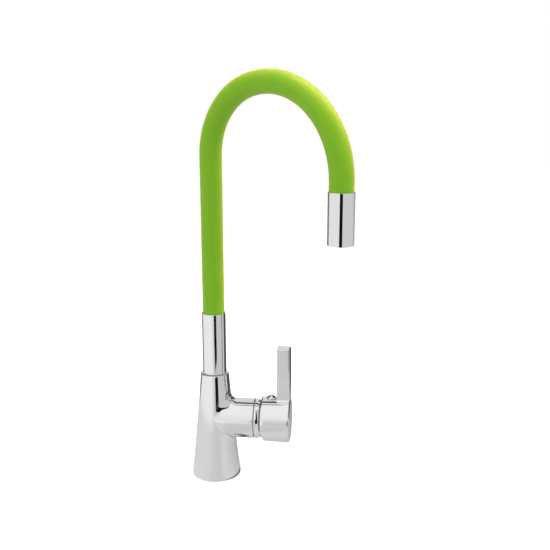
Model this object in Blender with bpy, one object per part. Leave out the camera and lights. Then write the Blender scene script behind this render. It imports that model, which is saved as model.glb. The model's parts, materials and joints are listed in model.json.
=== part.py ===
"""Flexible kitchen faucet: a conical body with a side lever, and a bendable gooseneck spout.

Row frame: the origin is the middle of the underside that sits on the worktop, +Z is up and
+X runs out along the side arm that holds the mixing cartridge and the lever.
"""

import math

import bmesh
import bpy
from mathutils import Matrix, Vector

MM = 0.001
DEG = math.pi / 180

# Fits shared by all pieces
GAP = 0.3 * MM
RUNNING_GAP = 0.4 * MM
OVERRUN = 4.0 * MM
WELD = 0.0005 * MM
SHARP_ANGLE = 35 * DEG

# Facets round a turned piece, by how large the piece is
LARGE_SIDES = 32
MEDIUM_SIDES = 20
SMALL_SIDES = 12
ROUND_STEPS = 3

# Body: cone, arm and the flat underside
BASE_RADIUS = 26.6 * MM
BODY_TOP_RADIUS = 15.0 * MM
BODY_HEIGHT = 117.0 * MM
BODY_EDGE = 0.8 * MM
ARM_DROP = 51.7 * MM
ARM_RADIUS = 21.4 * MM
ARM_REACH = 43.8 * MM
ARM_ROOT_RADIUS = 18.3 * MM
ARM_ROOT_LENGTH = 15.0 * MM
ARM_EDGE = 0.4 * MM

# Body: cored pocket, groove for the base seal, and the water and fixing holes
CORE_INNER_RADIUS = 14.5 * MM
CORE_OUTER_RADIUS = 18.4 * MM
CORE_ROOF = 10.7 * MM
SEAL_INNER_RADIUS = 20.4 * MM
SEAL_OUTER_RADIUS = 24.0 * MM
SEAL_THICKNESS = 2.0 * MM
INLET_THREAD_RADIUS = 4.3 * MM
INLET_THREAD_DEPTH = 14.0 * MM
INLET_SETBACK = 3.0 * MM
WATERWAY_RADIUS = 3.0 * MM
STUD_HOLE_RADIUS = 3.4 * MM
STUD_HOLE_DEPTH = 18.0 * MM
STUD_OFFSET = 8.4 * MM

# Body: socket that the spout turns in
SOCKET_RADIUS = 9.0 * MM
SOCKET_DEPTH = 25.0 * MM
CLIP_DEPTH = 9.0 * MM
CLIP_THICKNESS = 1.8 * MM
CLIP_INNER_RADIUS = 7.7 * MM
CLIP_OUTER_RADIUS = 10.0 * MM
CLIP_MOUTH = 9.0 * MM

# Cartridge, measured out along the arm from the floor of its cavity
CAVITY_DEPTH = 26.8 * MM
CARTRIDGE_RADIUS = 17.3 * MM
PORT_SEAL_THICKNESS = 2.3 * MM
PORT_SEAL_RADIUS = 4.5 * MM
PORT_SEAL_PROUD = 0.8 * MM
CARTRIDGE_BASE_THICKNESS = 4.2 * MM
SUPPLY_PORT_SIDE = 8.0 * MM
SUPPLY_PORT_DROP = 5.0 * MM
MIXED_PORT_RISE = 9.0 * MM
FIXED_DISC_THICKNESS = 3.5 * MM
MOVING_DISC_THICKNESS = 3.5 * MM
MOVING_DISC_RADIUS = 11.0 * MM
MIXING_POCKET_RADIUS = 7.0 * MM
MIXING_POCKET_DEPTH = 1.5 * MM
CARRIER_THICKNESS = 6.0 * MM
HOUSING_WALL = 2.1 * MM
HOUSING_SHOULDER = 1.7 * MM
HOUSING_HEAD_RADIUS = 14.6 * MM
HOUSING_HEAD_WALL = 1.6 * MM
HOUSING_FLANGE = 2.0 * MM
ROTOR_FLANGE_THICKNESS = 9.6 * MM
ROTOR_NECK_RADIUS = 9.6 * MM
ROTOR_NECK_HEIGHT = 7.1 * MM
NUT_HEIGHT = 8.0 * MM
NUT_OUTER_RADIUS = 18.9 * MM
NUT_INNER_RADIUS = 15.2 * MM

# Stem, its pin and the travel that the lever gives it
LIFT_ANGLE = 25 * DEG
PIVOT_ABOVE_SHOULDER = 4.1 * MM
STEM_WIDTH = 8.0 * MM
STEM_THICKNESS = 7.6 * MM
STEM_SETBACK = 16.5 * MM
TONGUE_HALF_WIDTH = 1.7 * MM
TONGUE_TIP_RADIUS = 2.2 * MM
TONGUE_REACH = 16.6 * MM
PIN_RADIUS = 1.6 * MM
PIN_LENGTH = 18.2 * MM

# Cover ring and lever handle
COVER_LENGTH = 6.7 * MM
COVER_INNER_RADIUS = 18.4 * MM
COVER_SHOULDER = 3.0 * MM
COVER_ROUND = 5.0 * MM
SEAM = 0.4 * MM
HANDLE_RADIUS = 24.0 * MM
HANDLE_END_RADIUS = 24.8 * MM
HANDLE_LENGTH = 31.3 * MM
HANDLE_WALL = 1.7 * MM
HANDLE_END_WALL = 4.0 * MM
HANDLE_RIM = 4.0 * MM
HANDLE_MOUTH_EDGE = 1.4 * MM
MOUTH_RELIEF_LENGTH = 2.4 * MM
MOUTH_RELIEF_DROP = 11.0 * MM
HUB_RADIUS = 7.2 * MM
HUB_CLEARANCE = 4.8 * MM
POST_WIDTH = 14.0 * MM
POST_DEPTH = 13.0 * MM
POST_RISE = 82.0 * MM
POST_EDGE = 1.2 * MM
POST_SETBACK = 0.2 * MM
POST_ROOT_DEPTH = 1.3 * MM
PLUG_SETBACK = 10.6 * MM
PLUG_RADIUS = 4.7 * MM
PLUG_PROUD = 2.0 * MM
PLUG_SEAT_DEPTH = 0.9 * MM
PLUG_EDGE = 0.5 * MM
PLUG_SPIGOT_RADIUS = 2.4 * MM
PLUG_SPIGOT_LENGTH = 3.0 * MM
GRUB_RADIUS = 2.1 * MM
GRUB_LENGTH = 5.0 * MM
GRUB_SOCKET_RADIUS = 1.2 * MM
GRUB_SOCKET_DEPTH = 2.4 * MM

# Spout: spigot, seals and neck sleeve
SPOUT_TURN = -35 * DEG
SPIGOT_RADIUS = 8.6 * MM
SPIGOT_FOOT_GAP = 2.0 * MM
SPIGOT_BORE = 5.0 * MM
SPIGOT_SHOULDER_RADIUS = 10.2 * MM
ORING_SECTION = 0.75 * MM
ORING_DEPTHS = (15.0 * MM, 19.5 * MM)
WASHER_THICKNESS = 0.6 * MM
WASHER_RADIUS = 12.2 * MM
NECK_RADIUS = 12.6 * MM
NECK_TOP = 184.5 * MM
NECK_WALL = 0.7 * MM
NECK_EDGE = 0.3 * MM
HOSE_SEAT = 152.0 * MM

# Hose: silicone sleeve over a stay-put gooseneck core over the water hose
SLEEVE_RADIUS = 11.5 * MM
SLEEVE_WALL = 2.8 * MM
CORE_WALL = 1.7 * MM
WATER_HOSE_WALL = 1.8 * MM
NIPPLE_WALL = 1.3 * MM
NIPPLE_LENGTH = 16.0 * MM
REACH = 164.1 * MM
ARCH_SPRING_HEIGHT = 349.7 * MM
ARCH_BACK_RADIUS = 71.5 * MM
ARCH_BACK_TURN = 72 * DEG
HOSE_JOINT_SHARES = (0.11, 0.28, 0.45, 0.61, 0.77, 0.92)
SOCKET_CLEARANCE = 0.5 * MM
SOCKET_RIM_SETBACK = 5.0 * MM
BEND_STEP = 16 * DEG
SLEEVE_SIDES = 18
CORE_SIDES = 12
WATER_HOSE_SIDES = 10

# Outlet: sleeve, nipple and aerator
OUTLET_RADIUS = 12.4 * MM
OUTLET_WALL = 0.6 * MM
OUTLET_DROP = 8.37 * MM
OUTLET_LENGTH = 47.9 * MM
OUTLET_EDGE = 0.25 * MM
OUTLET_SEAT_DEPTH = 23.7 * MM
CONNECTOR_HEIGHT = 14.0 * MM
CONNECTOR_WALL = 2.0 * MM
CONNECTOR_FLOOR = 3.0 * MM
AERATOR_RECESS = 0.9 * MM
AERATOR_THREAD_LENGTH = 7.3 * MM
AERATOR_THREAD_WALL = 1.2 * MM
AERATOR_LIP = 1.0 * MM
AERATOR_LIP_THICKNESS = 1.0 * MM
SCREEN_THICKNESS = 1.2 * MM
SCREEN_HOLE_RADIUS = 1.0 * MM
SCREEN_HOLE_PITCH = 3.0 * MM
SCREEN_HOLE_RINGS = 2
INSERT_LENGTH = 11.5 * MM
INSERT_JET_COUNT = 8
INSERT_JET_RADIUS = 1.1 * MM
INSERT_JET_CIRCLE = 5.0 * MM
GASKET_THICKNESS = 1.8 * MM
GASKET_INNER_RADIUS = 5.6 * MM

# Places that follow from the sizes above
ARM_HEIGHT = BODY_HEIGHT - ARM_DROP
CAVITY_FLOOR = ARM_REACH - CAVITY_DEPTH
CAVITY_RADIUS = CARTRIDGE_RADIUS + GAP
CORE_DEPTH = ARM_HEIGHT - CAVITY_RADIUS - CORE_ROOF
BASE_PLATE_BACK = PORT_SEAL_PROUD
BASE_PLATE_FRONT = BASE_PLATE_BACK + CARTRIDGE_BASE_THICKNESS
FIXED_DISC_BACK = BASE_PLATE_FRONT + GAP
FIXED_DISC_FRONT = FIXED_DISC_BACK + FIXED_DISC_THICKNESS
MOVING_DISC_BACK = FIXED_DISC_FRONT + GAP
MOVING_DISC_FRONT = MOVING_DISC_BACK + MOVING_DISC_THICKNESS
CARRIER_BACK = MOVING_DISC_FRONT + GAP
CARRIER_FRONT = CARRIER_BACK + CARRIER_THICKNESS
ROTOR_BACK = CARRIER_FRONT + RUNNING_GAP
ROTOR_SHOULDER = ROTOR_BACK + ROTOR_FLANGE_THICKNESS
ROTOR_FRONT = ROTOR_SHOULDER + ROTOR_NECK_HEIGHT
HOUSING_LEDGE = ROTOR_SHOULDER + RUNNING_GAP
HOUSING_FRONT = HOUSING_LEDGE + HOUSING_FLANGE
HOUSING_STEP = ROTOR_BACK + HOUSING_SHOULDER
NUT_BACK = CAVITY_FLOOR + HOUSING_STEP + GAP
NUT_FRONT = NUT_BACK + NUT_HEIGHT
NUT_BORE_RADIUS = NUT_OUTER_RADIUS + GAP
PIVOT_PLACE = CAVITY_FLOOR + ROTOR_SHOULDER + PIVOT_ABOVE_SHOULDER
DISC_TRAVEL = TONGUE_REACH * math.sin(LIFT_ANGLE)
DISC_REST_OFFSET = -DISC_TRAVEL / 2
COVER_BACK = ARM_REACH + SEAM
COVER_FRONT = COVER_BACK + COVER_LENGTH
HANDLE_START = COVER_FRONT + GAP
HANDLE_END = HANDLE_START + HANDLE_LENGTH
HANDLE_FLOOR = HANDLE_END - HANDLE_END_WALL
HUB_START = CAVITY_FLOOR + ROTOR_FRONT + HUB_CLEARANCE
STEM_END = HANDLE_END - STEM_SETBACK
PLUG_PLACE = HANDLE_START + PLUG_SETBACK
POST_OUTER_FACE = HANDLE_END - POST_SETBACK
SOCKET_FLOOR = BODY_HEIGHT - SOCKET_DEPTH
CLIP_TOP = BODY_HEIGHT - CLIP_DEPTH
CLIP_BOTTOM = CLIP_TOP - CLIP_THICKNESS
WASHER_TOP = BODY_HEIGHT + GAP + WASHER_THICKNESS
NECK_BOTTOM = WASHER_TOP + GAP
SLEEVE_BORE = SLEEVE_RADIUS - SLEEVE_WALL
CORE_RADIUS = SLEEVE_BORE - GAP
CORE_BORE = CORE_RADIUS - CORE_WALL
WATER_HOSE_RADIUS = CORE_BORE - GAP
WATER_HOSE_BORE = WATER_HOSE_RADIUS - WATER_HOSE_WALL
NIPPLE_RADIUS = WATER_HOSE_BORE - GAP
NIPPLE_BORE = NIPPLE_RADIUS - NIPPLE_WALL
ARCH_FRONT_RADIUS = (REACH - ARCH_BACK_RADIUS * (1 - math.cos(ARCH_BACK_TURN))) / (
    1 + math.cos(ARCH_BACK_TURN))
ARCH_FRONT_TURN = math.pi - ARCH_BACK_TURN
ARCH_END_HEIGHT = ARCH_SPRING_HEIGHT + (ARCH_BACK_RADIUS - ARCH_FRONT_RADIUS) * math.sin(
    ARCH_BACK_TURN)
OUTLET_TOP = ARCH_END_HEIGHT - OUTLET_DROP
OUTLET_BOTTOM = OUTLET_TOP - OUTLET_LENGTH
OUTLET_SEAT = OUTLET_TOP - OUTLET_SEAT_DEPTH
HOSE_STRETCHES = (
    (ARCH_SPRING_HEIGHT - HOSE_SEAT, 0),
    (ARCH_BACK_RADIUS * ARCH_BACK_TURN, ARCH_BACK_TURN),
    (ARCH_FRONT_RADIUS * ARCH_FRONT_TURN, ARCH_FRONT_TURN),
    (ARCH_END_HEIGHT - OUTLET_SEAT, 0),
)
HOSE_LENGTH = sum(length for length, turn in HOSE_STRETCHES)
FREE_START = NECK_TOP - HOSE_SEAT
FREE_END = HOSE_LENGTH - (OUTLET_TOP - OUTLET_SEAT)
HOSE_JOINTS = tuple(
    FREE_START + share * (FREE_END - FREE_START) for share in HOSE_JOINT_SHARES)

# The arm's frame has x up, y towards the front and z out along the arm
ARM_FRAME = Matrix.Translation((0, 0, ARM_HEIGHT)) @ Matrix(
    ((0, 0, 1, 0), (0, -1, 0, 0), (1, 0, 0, 0), (0, 0, 0, 1)))
BODY_FRAME = Matrix.Identity(4)
SPOUT_FRAME = Matrix.Rotation(SPOUT_TURN, 4, "Z")
OUTLET_FRAME = SPOUT_FRAME @ Matrix.Translation((REACH, 0, 0))

# Colour, roughness and metallic value of each finish
FINISHES = {
    "chrome": ((0.80, 0.81, 0.82), 0.08, 1.0),
    "brass": ((0.72, 0.55, 0.25), 0.30, 1.0),
    "steel": ((0.60, 0.61, 0.62), 0.30, 1.0),
    "green_silicone": ((0.21, 0.45, 0.03), 0.45, 0.0),
    "black_rubber": ((0.03, 0.03, 0.03), 0.60, 0.0),
    "white_plastic": ((0.80, 0.80, 0.78), 0.40, 0.0),
    "grey_plastic": ((0.35, 0.36, 0.38), 0.45, 0.0),
    "ceramic": ((0.90, 0.90, 0.88), 0.20, 0.0),
}


def clear_scene():
    """Remove everything that the scene holds before modelling."""
    for obj in list(bpy.data.objects):
        bpy.data.objects.remove(obj, do_unlink=True)


def finish(name):
    """Return the named finish as a Principled material, made once."""
    material = bpy.data.materials.get(name)
    if material is None:
        colour, roughness, metallic = FINISHES[name]
        material = bpy.data.materials.new(name)
        material.use_nodes = True
        shader = material.node_tree.nodes["Principled BSDF"]
        shader.inputs["Base Color"].default_value = (*colour, 1)
        shader.inputs["Roughness"].default_value = roughness
        shader.inputs["Metallic"].default_value = metallic
        material.diffuse_color = (*colour, 1)
    return material


def add_object(name, bm, frame, finish_name):
    """Turn a bmesh into a smooth-shaded object that stands in the given frame."""
    bmesh.ops.remove_doubles(bm, verts=bm.verts, dist=WELD)
    bmesh.ops.recalc_face_normals(bm, faces=bm.faces)
    mesh = bpy.data.meshes.new(name)
    bm.to_mesh(mesh)
    bm.free()
    mesh.shade_smooth()
    mesh.set_sharp_from_angle(angle=SHARP_ANGLE)
    obj = bpy.data.objects.new(name, mesh)
    bpy.context.scene.collection.objects.link(obj)
    obj.matrix_world = frame
    if finish_name:
        mesh.materials.append(finish(finish_name))
    return obj


def arc(centre, radius, start, end, steps=ROUND_STEPS):
    """Points of a quarter-like arc in an outline, angles counted from the outline's first axis."""
    return [(centre[0] + radius * math.cos(start + (end - start) * i / steps),
             centre[1] + radius * math.sin(start + (end - start) * i / steps))
            for i in range(steps + 1)]


def turned(name, outline, frame, finish_name, sides=MEDIUM_SIDES):
    """Spin an outline of (radius, height) points round the frame's z axis into a closed solid.

    A flat end over the axis becomes one face, so that holes cut through it meet no spokes.
    """
    bm = bmesh.new()
    verts = [bm.verts.new((radius, 0, height)) for radius, height in outline]
    edges = [bm.edges.new(pair) for pair in zip(verts, verts[1:] + verts[:1])
             if pair[0].co.x > 0 or pair[1].co.x > 0]
    bmesh.ops.spin(bm, geom=verts + edges, cent=(0, 0, 0), axis=(0, 0, 1),
                   angle=2 * math.pi, steps=sides, use_merge=True)
    bmesh.ops.remove_doubles(bm, verts=bm.verts, dist=WELD)
    hubs = [v for v in bm.verts if v.co.xy.length < WELD]
    bmesh.ops.dissolve_verts(bm, verts=hubs)
    return add_object(name, bm, frame, finish_name)


def tube(name, inner, outer, bottom, top, frame, finish_name, sides=MEDIUM_SIDES):
    """A plain ring or pipe between two radii and two heights."""
    outline = [(outer, bottom), (outer, top), (inner, top), (inner, bottom)]
    return turned(name, outline, frame, finish_name, sides)


def rod(name, start, end, radius, frame, finish_name=None, sides=SMALL_SIDES):
    """A plain round bar from one point of the frame to another."""
    start, end = Vector(start), Vector(end)
    along = end - start
    place = Matrix.Translation((start + end) / 2) @ along.to_track_quat("Z", "Y").to_matrix().to_4x4()
    bm = bmesh.new()
    bmesh.ops.create_cone(bm, cap_ends=True, segments=sides, radius1=radius, radius2=radius,
                          depth=along.length, matrix=place)
    return add_object(name, bm, frame, finish_name)


def plate(name, radius, bottom, top, frame, finish_name, sides=MEDIUM_SIDES):
    """A plain round plate across the frame's z axis."""
    return rod(name, (0, 0, bottom), (0, 0, top), radius, frame, finish_name, sides)


def block(name, low, high, frame, finish_name=None, edge=0, upright_only=False):
    """A box between two corners, its edges rounded to the given radius."""
    low, high = Vector(low), Vector(high)
    size = high - low
    place = Matrix.Translation((low + high) / 2) @ Matrix.Diagonal((*size, 1))
    bm = bmesh.new()
    bmesh.ops.create_cube(bm, size=1, matrix=place)
    if edge:
        edges = [e for e in bm.edges if not upright_only
                 or abs((e.verts[0].co - e.verts[1].co).x) > edge]
        bmesh.ops.bevel(bm, geom=edges, offset=edge, segments=2, profile=0.5, affect="EDGES")
    return add_object(name, bm, frame, finish_name)


def combine(target, tool, operation):
    """Cut or join with a helper shape that is itself left out of the model."""
    modifier = target.modifiers.new(f"{operation.lower()}_{tool.name}", "BOOLEAN")
    modifier.operation = operation
    modifier.solver = "EXACT"
    modifier.object = tool
    tool.hide_render = True
    tool.display_type = "WIRE"
    return target


def cut(target, *tools):
    """Take each helper shape out of the target."""
    for tool in tools:
        combine(target, tool, "DIFFERENCE")
    return target


def join(target, *tools):
    """Add each helper shape to the target, as one casting."""
    for tool in tools:
        combine(target, tool, "UNION")
    return target


def joint_empty(name, location, parent=None):
    """An empty that marks a joint's place, carried by the joint before it."""
    empty = bpy.data.objects.new(name, None)
    bpy.context.scene.collection.objects.link(empty)
    empty.matrix_world = Matrix.Translation(location)
    if parent:
        carry(parent, [empty])
    bpy.context.view_layer.update()
    return empty


def carry(empty, pieces):
    """Parent pieces to an empty and leave them where they stand."""
    bpy.context.view_layer.update()
    for piece in pieces:
        piece.parent = empty
        piece.matrix_parent_inverse = empty.matrix_world.inverted()
        for modifier in piece.modifiers:
            if modifier.type == "BOOLEAN" and modifier.object.parent is None:
                modifier.object.parent = empty
                modifier.object.matrix_parent_inverse = empty.matrix_world.inverted()


def cone_radius(height):
    """Radius of the body's cone at a height."""
    return BASE_RADIUS + (BODY_TOP_RADIUS - BASE_RADIUS) * height / BODY_HEIGHT


def supply_ports():
    """Hot and cold ports on the cavity floor, as (up, front) pairs in the arm's frame."""
    return {"hot": (-SUPPLY_PORT_DROP, SUPPLY_PORT_SIDE),
            "cold": (-SUPPLY_PORT_DROP, -SUPPLY_PORT_SIDE)}


def all_ports():
    """The supply ports and the port that the mixed water leaves by."""
    return {**supply_ports(), "mixed": (MIXED_PORT_RISE, 0)}


def make_body():
    """Cast body: cone and arm in one piece, bored for the cartridge, the spout and the water."""
    top = BODY_HEIGHT
    cone = [(0, 0), (BASE_RADIUS - BODY_EDGE, 0), (cone_radius(BODY_EDGE), BODY_EDGE)]
    cone += arc((BODY_TOP_RADIUS - BODY_EDGE, top - BODY_EDGE), BODY_EDGE, 0, math.pi / 2)
    cone += [(0, top)]
    body = turned("faucet_body", cone, BODY_FRAME, "chrome", LARGE_SIDES)

    swell = ARM_RADIUS - ARM_ROOT_RADIUS
    root = [(ARM_ROOT_RADIUS + swell * math.sin(math.pi / 2 * i / ROUND_STEPS),
             ARM_ROOT_LENGTH * i / ROUND_STEPS) for i in range(ROUND_STEPS + 1)]
    arm = [(0, 0)] + root + [(ARM_RADIUS, ARM_REACH - ARM_EDGE),
                             (ARM_RADIUS - ARM_EDGE, ARM_REACH), (0, ARM_REACH)]
    join(body, turned("arm_casting", arm, ARM_FRAME, None, LARGE_SIDES))

    mouth = ARM_REACH + OVERRUN
    cavity = [(0, CAVITY_FLOOR), (CAVITY_RADIUS, CAVITY_FLOOR), (CAVITY_RADIUS, NUT_BACK - GAP),
              (NUT_BORE_RADIUS, NUT_BACK - GAP), (NUT_BORE_RADIUS, mouth), (0, mouth)]
    cut(body, turned("cartridge_cavity", cavity, ARM_FRAME, None, MEDIUM_SIDES))

    groove_radius = CLIP_OUTER_RADIUS + RUNNING_GAP
    socket = [(0, SOCKET_FLOOR), (SOCKET_RADIUS, SOCKET_FLOOR),
              (SOCKET_RADIUS, CLIP_BOTTOM - GAP), (groove_radius, CLIP_BOTTOM - GAP),
              (groove_radius, CLIP_TOP + GAP), (SOCKET_RADIUS, CLIP_TOP + GAP),
              (SOCKET_RADIUS, top + OVERRUN), (0, top + OVERRUN)]
    cut(body, turned("spout_socket", socket, BODY_FRAME, None))

    cut(body, tube("core_pocket", CORE_INNER_RADIUS, CORE_OUTER_RADIUS, -OVERRUN, CORE_DEPTH,
                   BODY_FRAME, None),
        tube("seal_groove", SEAL_INNER_RADIUS - GAP, SEAL_OUTER_RADIUS + GAP, -OVERRUN,
             SEAL_THICKNESS + GAP, BODY_FRAME, None))

    for name, (up, front) in supply_ports().items():
        foot = (-INLET_SETBACK, -front)
        bend = ARM_HEIGHT + up
        cut(body,
            rod(f"{name}_inlet_thread", (*foot, -OVERRUN), (*foot, INLET_THREAD_DEPTH),
                INLET_THREAD_RADIUS, BODY_FRAME),
            rod(f"{name}_riser", (*foot, INLET_THREAD_DEPTH - OVERRUN),
                (*foot, bend + WATERWAY_RADIUS), WATERWAY_RADIUS, BODY_FRAME),
            rod(f"{name}_crossing", (*foot, bend), (CAVITY_FLOOR + OVERRUN, -front, bend),
                WATERWAY_RADIUS, BODY_FRAME))

    mixed_height = ARM_HEIGHT + MIXED_PORT_RISE
    cut(body,
        rod("mixed_crossing", (0, 0, mixed_height), (CAVITY_FLOOR + OVERRUN, 0, mixed_height),
            WATERWAY_RADIUS, BODY_FRAME),
        rod("mixed_riser", (0, 0, mixed_height - WATERWAY_RADIUS), (0, 0, SOCKET_FLOOR + OVERRUN),
            WATERWAY_RADIUS, BODY_FRAME),
        rod("stud_hole", (STUD_OFFSET, 0, -OVERRUN), (STUD_OFFSET, 0, STUD_HOLE_DEPTH),
            STUD_HOLE_RADIUS, BODY_FRAME))
    return body


def make_base_seal():
    """Flat rubber ring in the groove of the underside."""
    return tube("base_seal", SEAL_INNER_RADIUS, SEAL_OUTER_RADIUS, 0, SEAL_THICKNESS,
                BODY_FRAME, "black_rubber", LARGE_SIDES)


def port_rods(prefix, radius, back, front):
    """Helper bars through every port between two distances along the arm."""
    return [rod(f"{prefix}_{name}_port", (up, side, back), (up, side, front), radius, ARM_FRAME)
            for name, (up, side) in all_ports().items()]


def make_cartridge_base():
    """Bottom plate of the cartridge, with its ports and the recesses of their seals."""
    back = CAVITY_FLOOR + BASE_PLATE_BACK
    front = CAVITY_FLOOR + BASE_PLATE_FRONT
    base = plate("cartridge_base", CARTRIDGE_RADIUS, back, front, ARM_FRAME, "white_plastic")
    recess_floor = CAVITY_FLOOR + GAP + PORT_SEAL_THICKNESS + GAP
    cut(base, *port_rods("recess", PORT_SEAL_RADIUS + GAP, back - OVERRUN, recess_floor))
    return cut(base, *port_rods("base", WATERWAY_RADIUS, back - OVERRUN, front + OVERRUN))


def make_port_seals():
    """One rubber ring for each port, pressed between the cartridge and the cavity floor."""
    back = CAVITY_FLOOR + GAP
    return [tube(f"port_seal_{name}", WATERWAY_RADIUS, PORT_SEAL_RADIUS, back,
                 back + PORT_SEAL_THICKNESS, ARM_FRAME @ Matrix.Translation((up, side, 0)),
                 "black_rubber", SMALL_SIDES)
            for name, (up, side) in all_ports().items()]


def make_fixed_disc():
    """Ceramic disc that stays still and carries the three ports."""
    radius = CARTRIDGE_RADIUS - HOUSING_WALL - GAP
    back = CAVITY_FLOOR + FIXED_DISC_BACK
    front = CAVITY_FLOOR + FIXED_DISC_FRONT
    disc = plate("fixed_ceramic_disc", radius, back, front, ARM_FRAME, "ceramic")
    return cut(disc, *port_rods("disc", WATERWAY_RADIUS, back - OVERRUN, front + OVERRUN))


def make_cartridge_housing():
    """Plastic shell of the cartridge, its inner flange holding the rotor down."""
    inner = CARTRIDGE_RADIUS - HOUSING_WALL
    head = HOUSING_HEAD_RADIUS
    chamber = head - HOUSING_HEAD_WALL
    opening = ROTOR_NECK_RADIUS + RUNNING_GAP
    back = CAVITY_FLOOR + FIXED_DISC_BACK
    ceiling = CAVITY_FLOOR + ROTOR_BACK
    step = CAVITY_FLOOR + HOUSING_STEP
    ledge = CAVITY_FLOOR + HOUSING_LEDGE
    front = CAVITY_FLOOR + HOUSING_FRONT
    outline = [(CARTRIDGE_RADIUS, back), (CARTRIDGE_RADIUS, step), (head, step), (head, front),
               (opening, front), (opening, ledge), (chamber, ledge), (chamber, ceiling),
               (inner, ceiling), (inner, back)]
    return turned("cartridge_housing", outline, ARM_FRAME, "grey_plastic")


def make_cartridge_nut():
    """Threaded ring that clamps the cartridge and carries the cover ring."""
    return tube("cartridge_nut", NUT_INNER_RADIUS, NUT_OUTER_RADIUS, NUT_BACK, NUT_FRONT,
                ARM_FRAME, "brass")


def make_cover_ring():
    """Chrome ring between the arm and the handle, seated on the nut and rounded to the front."""
    seat = NUT_OUTER_RADIUS + GAP
    ledge = NUT_FRONT + GAP
    shoulder = COVER_BACK + COVER_SHOULDER
    sweep = math.asin((COVER_LENGTH - COVER_SHOULDER) / COVER_ROUND)
    outline = [(ARM_RADIUS - ARM_EDGE, COVER_BACK), (ARM_RADIUS, COVER_BACK + ARM_EDGE)]
    outline += arc((ARM_RADIUS - COVER_ROUND, shoulder), COVER_ROUND, 0, sweep)
    outline += [(COVER_INNER_RADIUS, COVER_FRONT), (COVER_INNER_RADIUS, ledge), (seat, ledge),
                (seat, COVER_BACK)]
    return turned("cover_ring", outline, ARM_FRAME, "chrome", LARGE_SIDES)


def make_moving_disc():
    """Ceramic disc that slides on the fixed one, with the mixing pocket in its back."""
    back = CAVITY_FLOOR + MOVING_DISC_BACK
    front = CAVITY_FLOOR + MOVING_DISC_FRONT
    pocket = back + MIXING_POCKET_DEPTH
    outline = [(0, pocket), (MIXING_POCKET_RADIUS, pocket), (MIXING_POCKET_RADIUS, back),
               (MOVING_DISC_RADIUS, back), (MOVING_DISC_RADIUS, front), (0, front)]
    return turned("moving_ceramic_disc", outline,
                  ARM_FRAME @ Matrix.Translation((DISC_REST_OFFSET, 0, 0)), "ceramic")


def make_disc_carrier():
    """Plastic driver over the moving disc, slotted for the stem's tongue."""
    back = CAVITY_FLOOR + CARRIER_BACK
    front = CAVITY_FLOOR + CARRIER_FRONT
    carrier = plate("disc_carrier", MOVING_DISC_RADIUS, back, front,
                    ARM_FRAME @ Matrix.Translation((DISC_REST_OFFSET, 0, 0)), "white_plastic")
    half_length = TONGUE_TIP_RADIUS / math.cos(LIFT_ANGLE) + RUNNING_GAP
    half_width = STEM_THICKNESS / 2 + GAP
    slot = block("tongue_slot", (-half_length, -half_width, back - OVERRUN),
                 (half_length, half_width, front + OVERRUN), ARM_FRAME)
    return cut(carrier, slot)


def make_rotor():
    """Turning head of the cartridge, slotted so that the stem can tilt in it."""
    flange_radius = HOUSING_HEAD_RADIUS - HOUSING_HEAD_WALL - RUNNING_GAP
    back = CAVITY_FLOOR + ROTOR_BACK
    shoulder = CAVITY_FLOOR + ROTOR_SHOULDER
    front = CAVITY_FLOOR + ROTOR_FRONT
    outline = [(0, back), (flange_radius, back), (flange_radius, shoulder),
               (ROTOR_NECK_RADIUS, shoulder), (ROTOR_NECK_RADIUS, front), (0, front)]
    rotor = turned("cartridge_rotor", outline, ARM_FRAME, "white_plastic")
    half_width = STEM_THICKNESS / 2 + GAP
    half_stem = STEM_WIDTH / 2
    leaned = half_stem / math.cos(LIFT_ANGLE) + RUNNING_GAP
    head_down = (front - PIVOT_PLACE) * math.tan(LIFT_ANGLE) + leaned
    head_up = half_stem * (math.sin(LIFT_ANGLE) + math.cos(LIFT_ANGLE)) + RUNNING_GAP
    head_back = PIVOT_PLACE - half_stem * (1 + math.sin(LIFT_ANGLE)) - RUNNING_GAP
    head_slot = block("stem_slot", (-head_down, -half_width, head_back),
                      (head_up, half_width, front + OVERRUN), ARM_FRAME)
    foot_down = TONGUE_TIP_RADIUS + RUNNING_GAP
    foot_up = ((PIVOT_PLACE - back) * math.tan(LIFT_ANGLE)
               + TONGUE_TIP_RADIUS / math.cos(LIFT_ANGLE) + RUNNING_GAP)
    foot_slot = block("tongue_sweep", (-foot_down, -half_width, back - OVERRUN),
                      (foot_up, half_width, head_back + RUNNING_GAP), ARM_FRAME)
    hole = rod("pin_hole", (0, -flange_radius - OVERRUN, PIVOT_PLACE),
               (0, flange_radius + OVERRUN, PIVOT_PLACE), PIN_RADIUS + GAP, ARM_FRAME)
    return cut(rotor, head_slot, foot_slot, hole)


def make_stem_pin():
    """Steel pin that the stem tilts on."""
    return rod("stem_pin", (0, -PIN_LENGTH / 2, PIVOT_PLACE), (0, PIN_LENGTH / 2, PIVOT_PLACE),
               PIN_RADIUS, ARM_FRAME, "steel")


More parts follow.
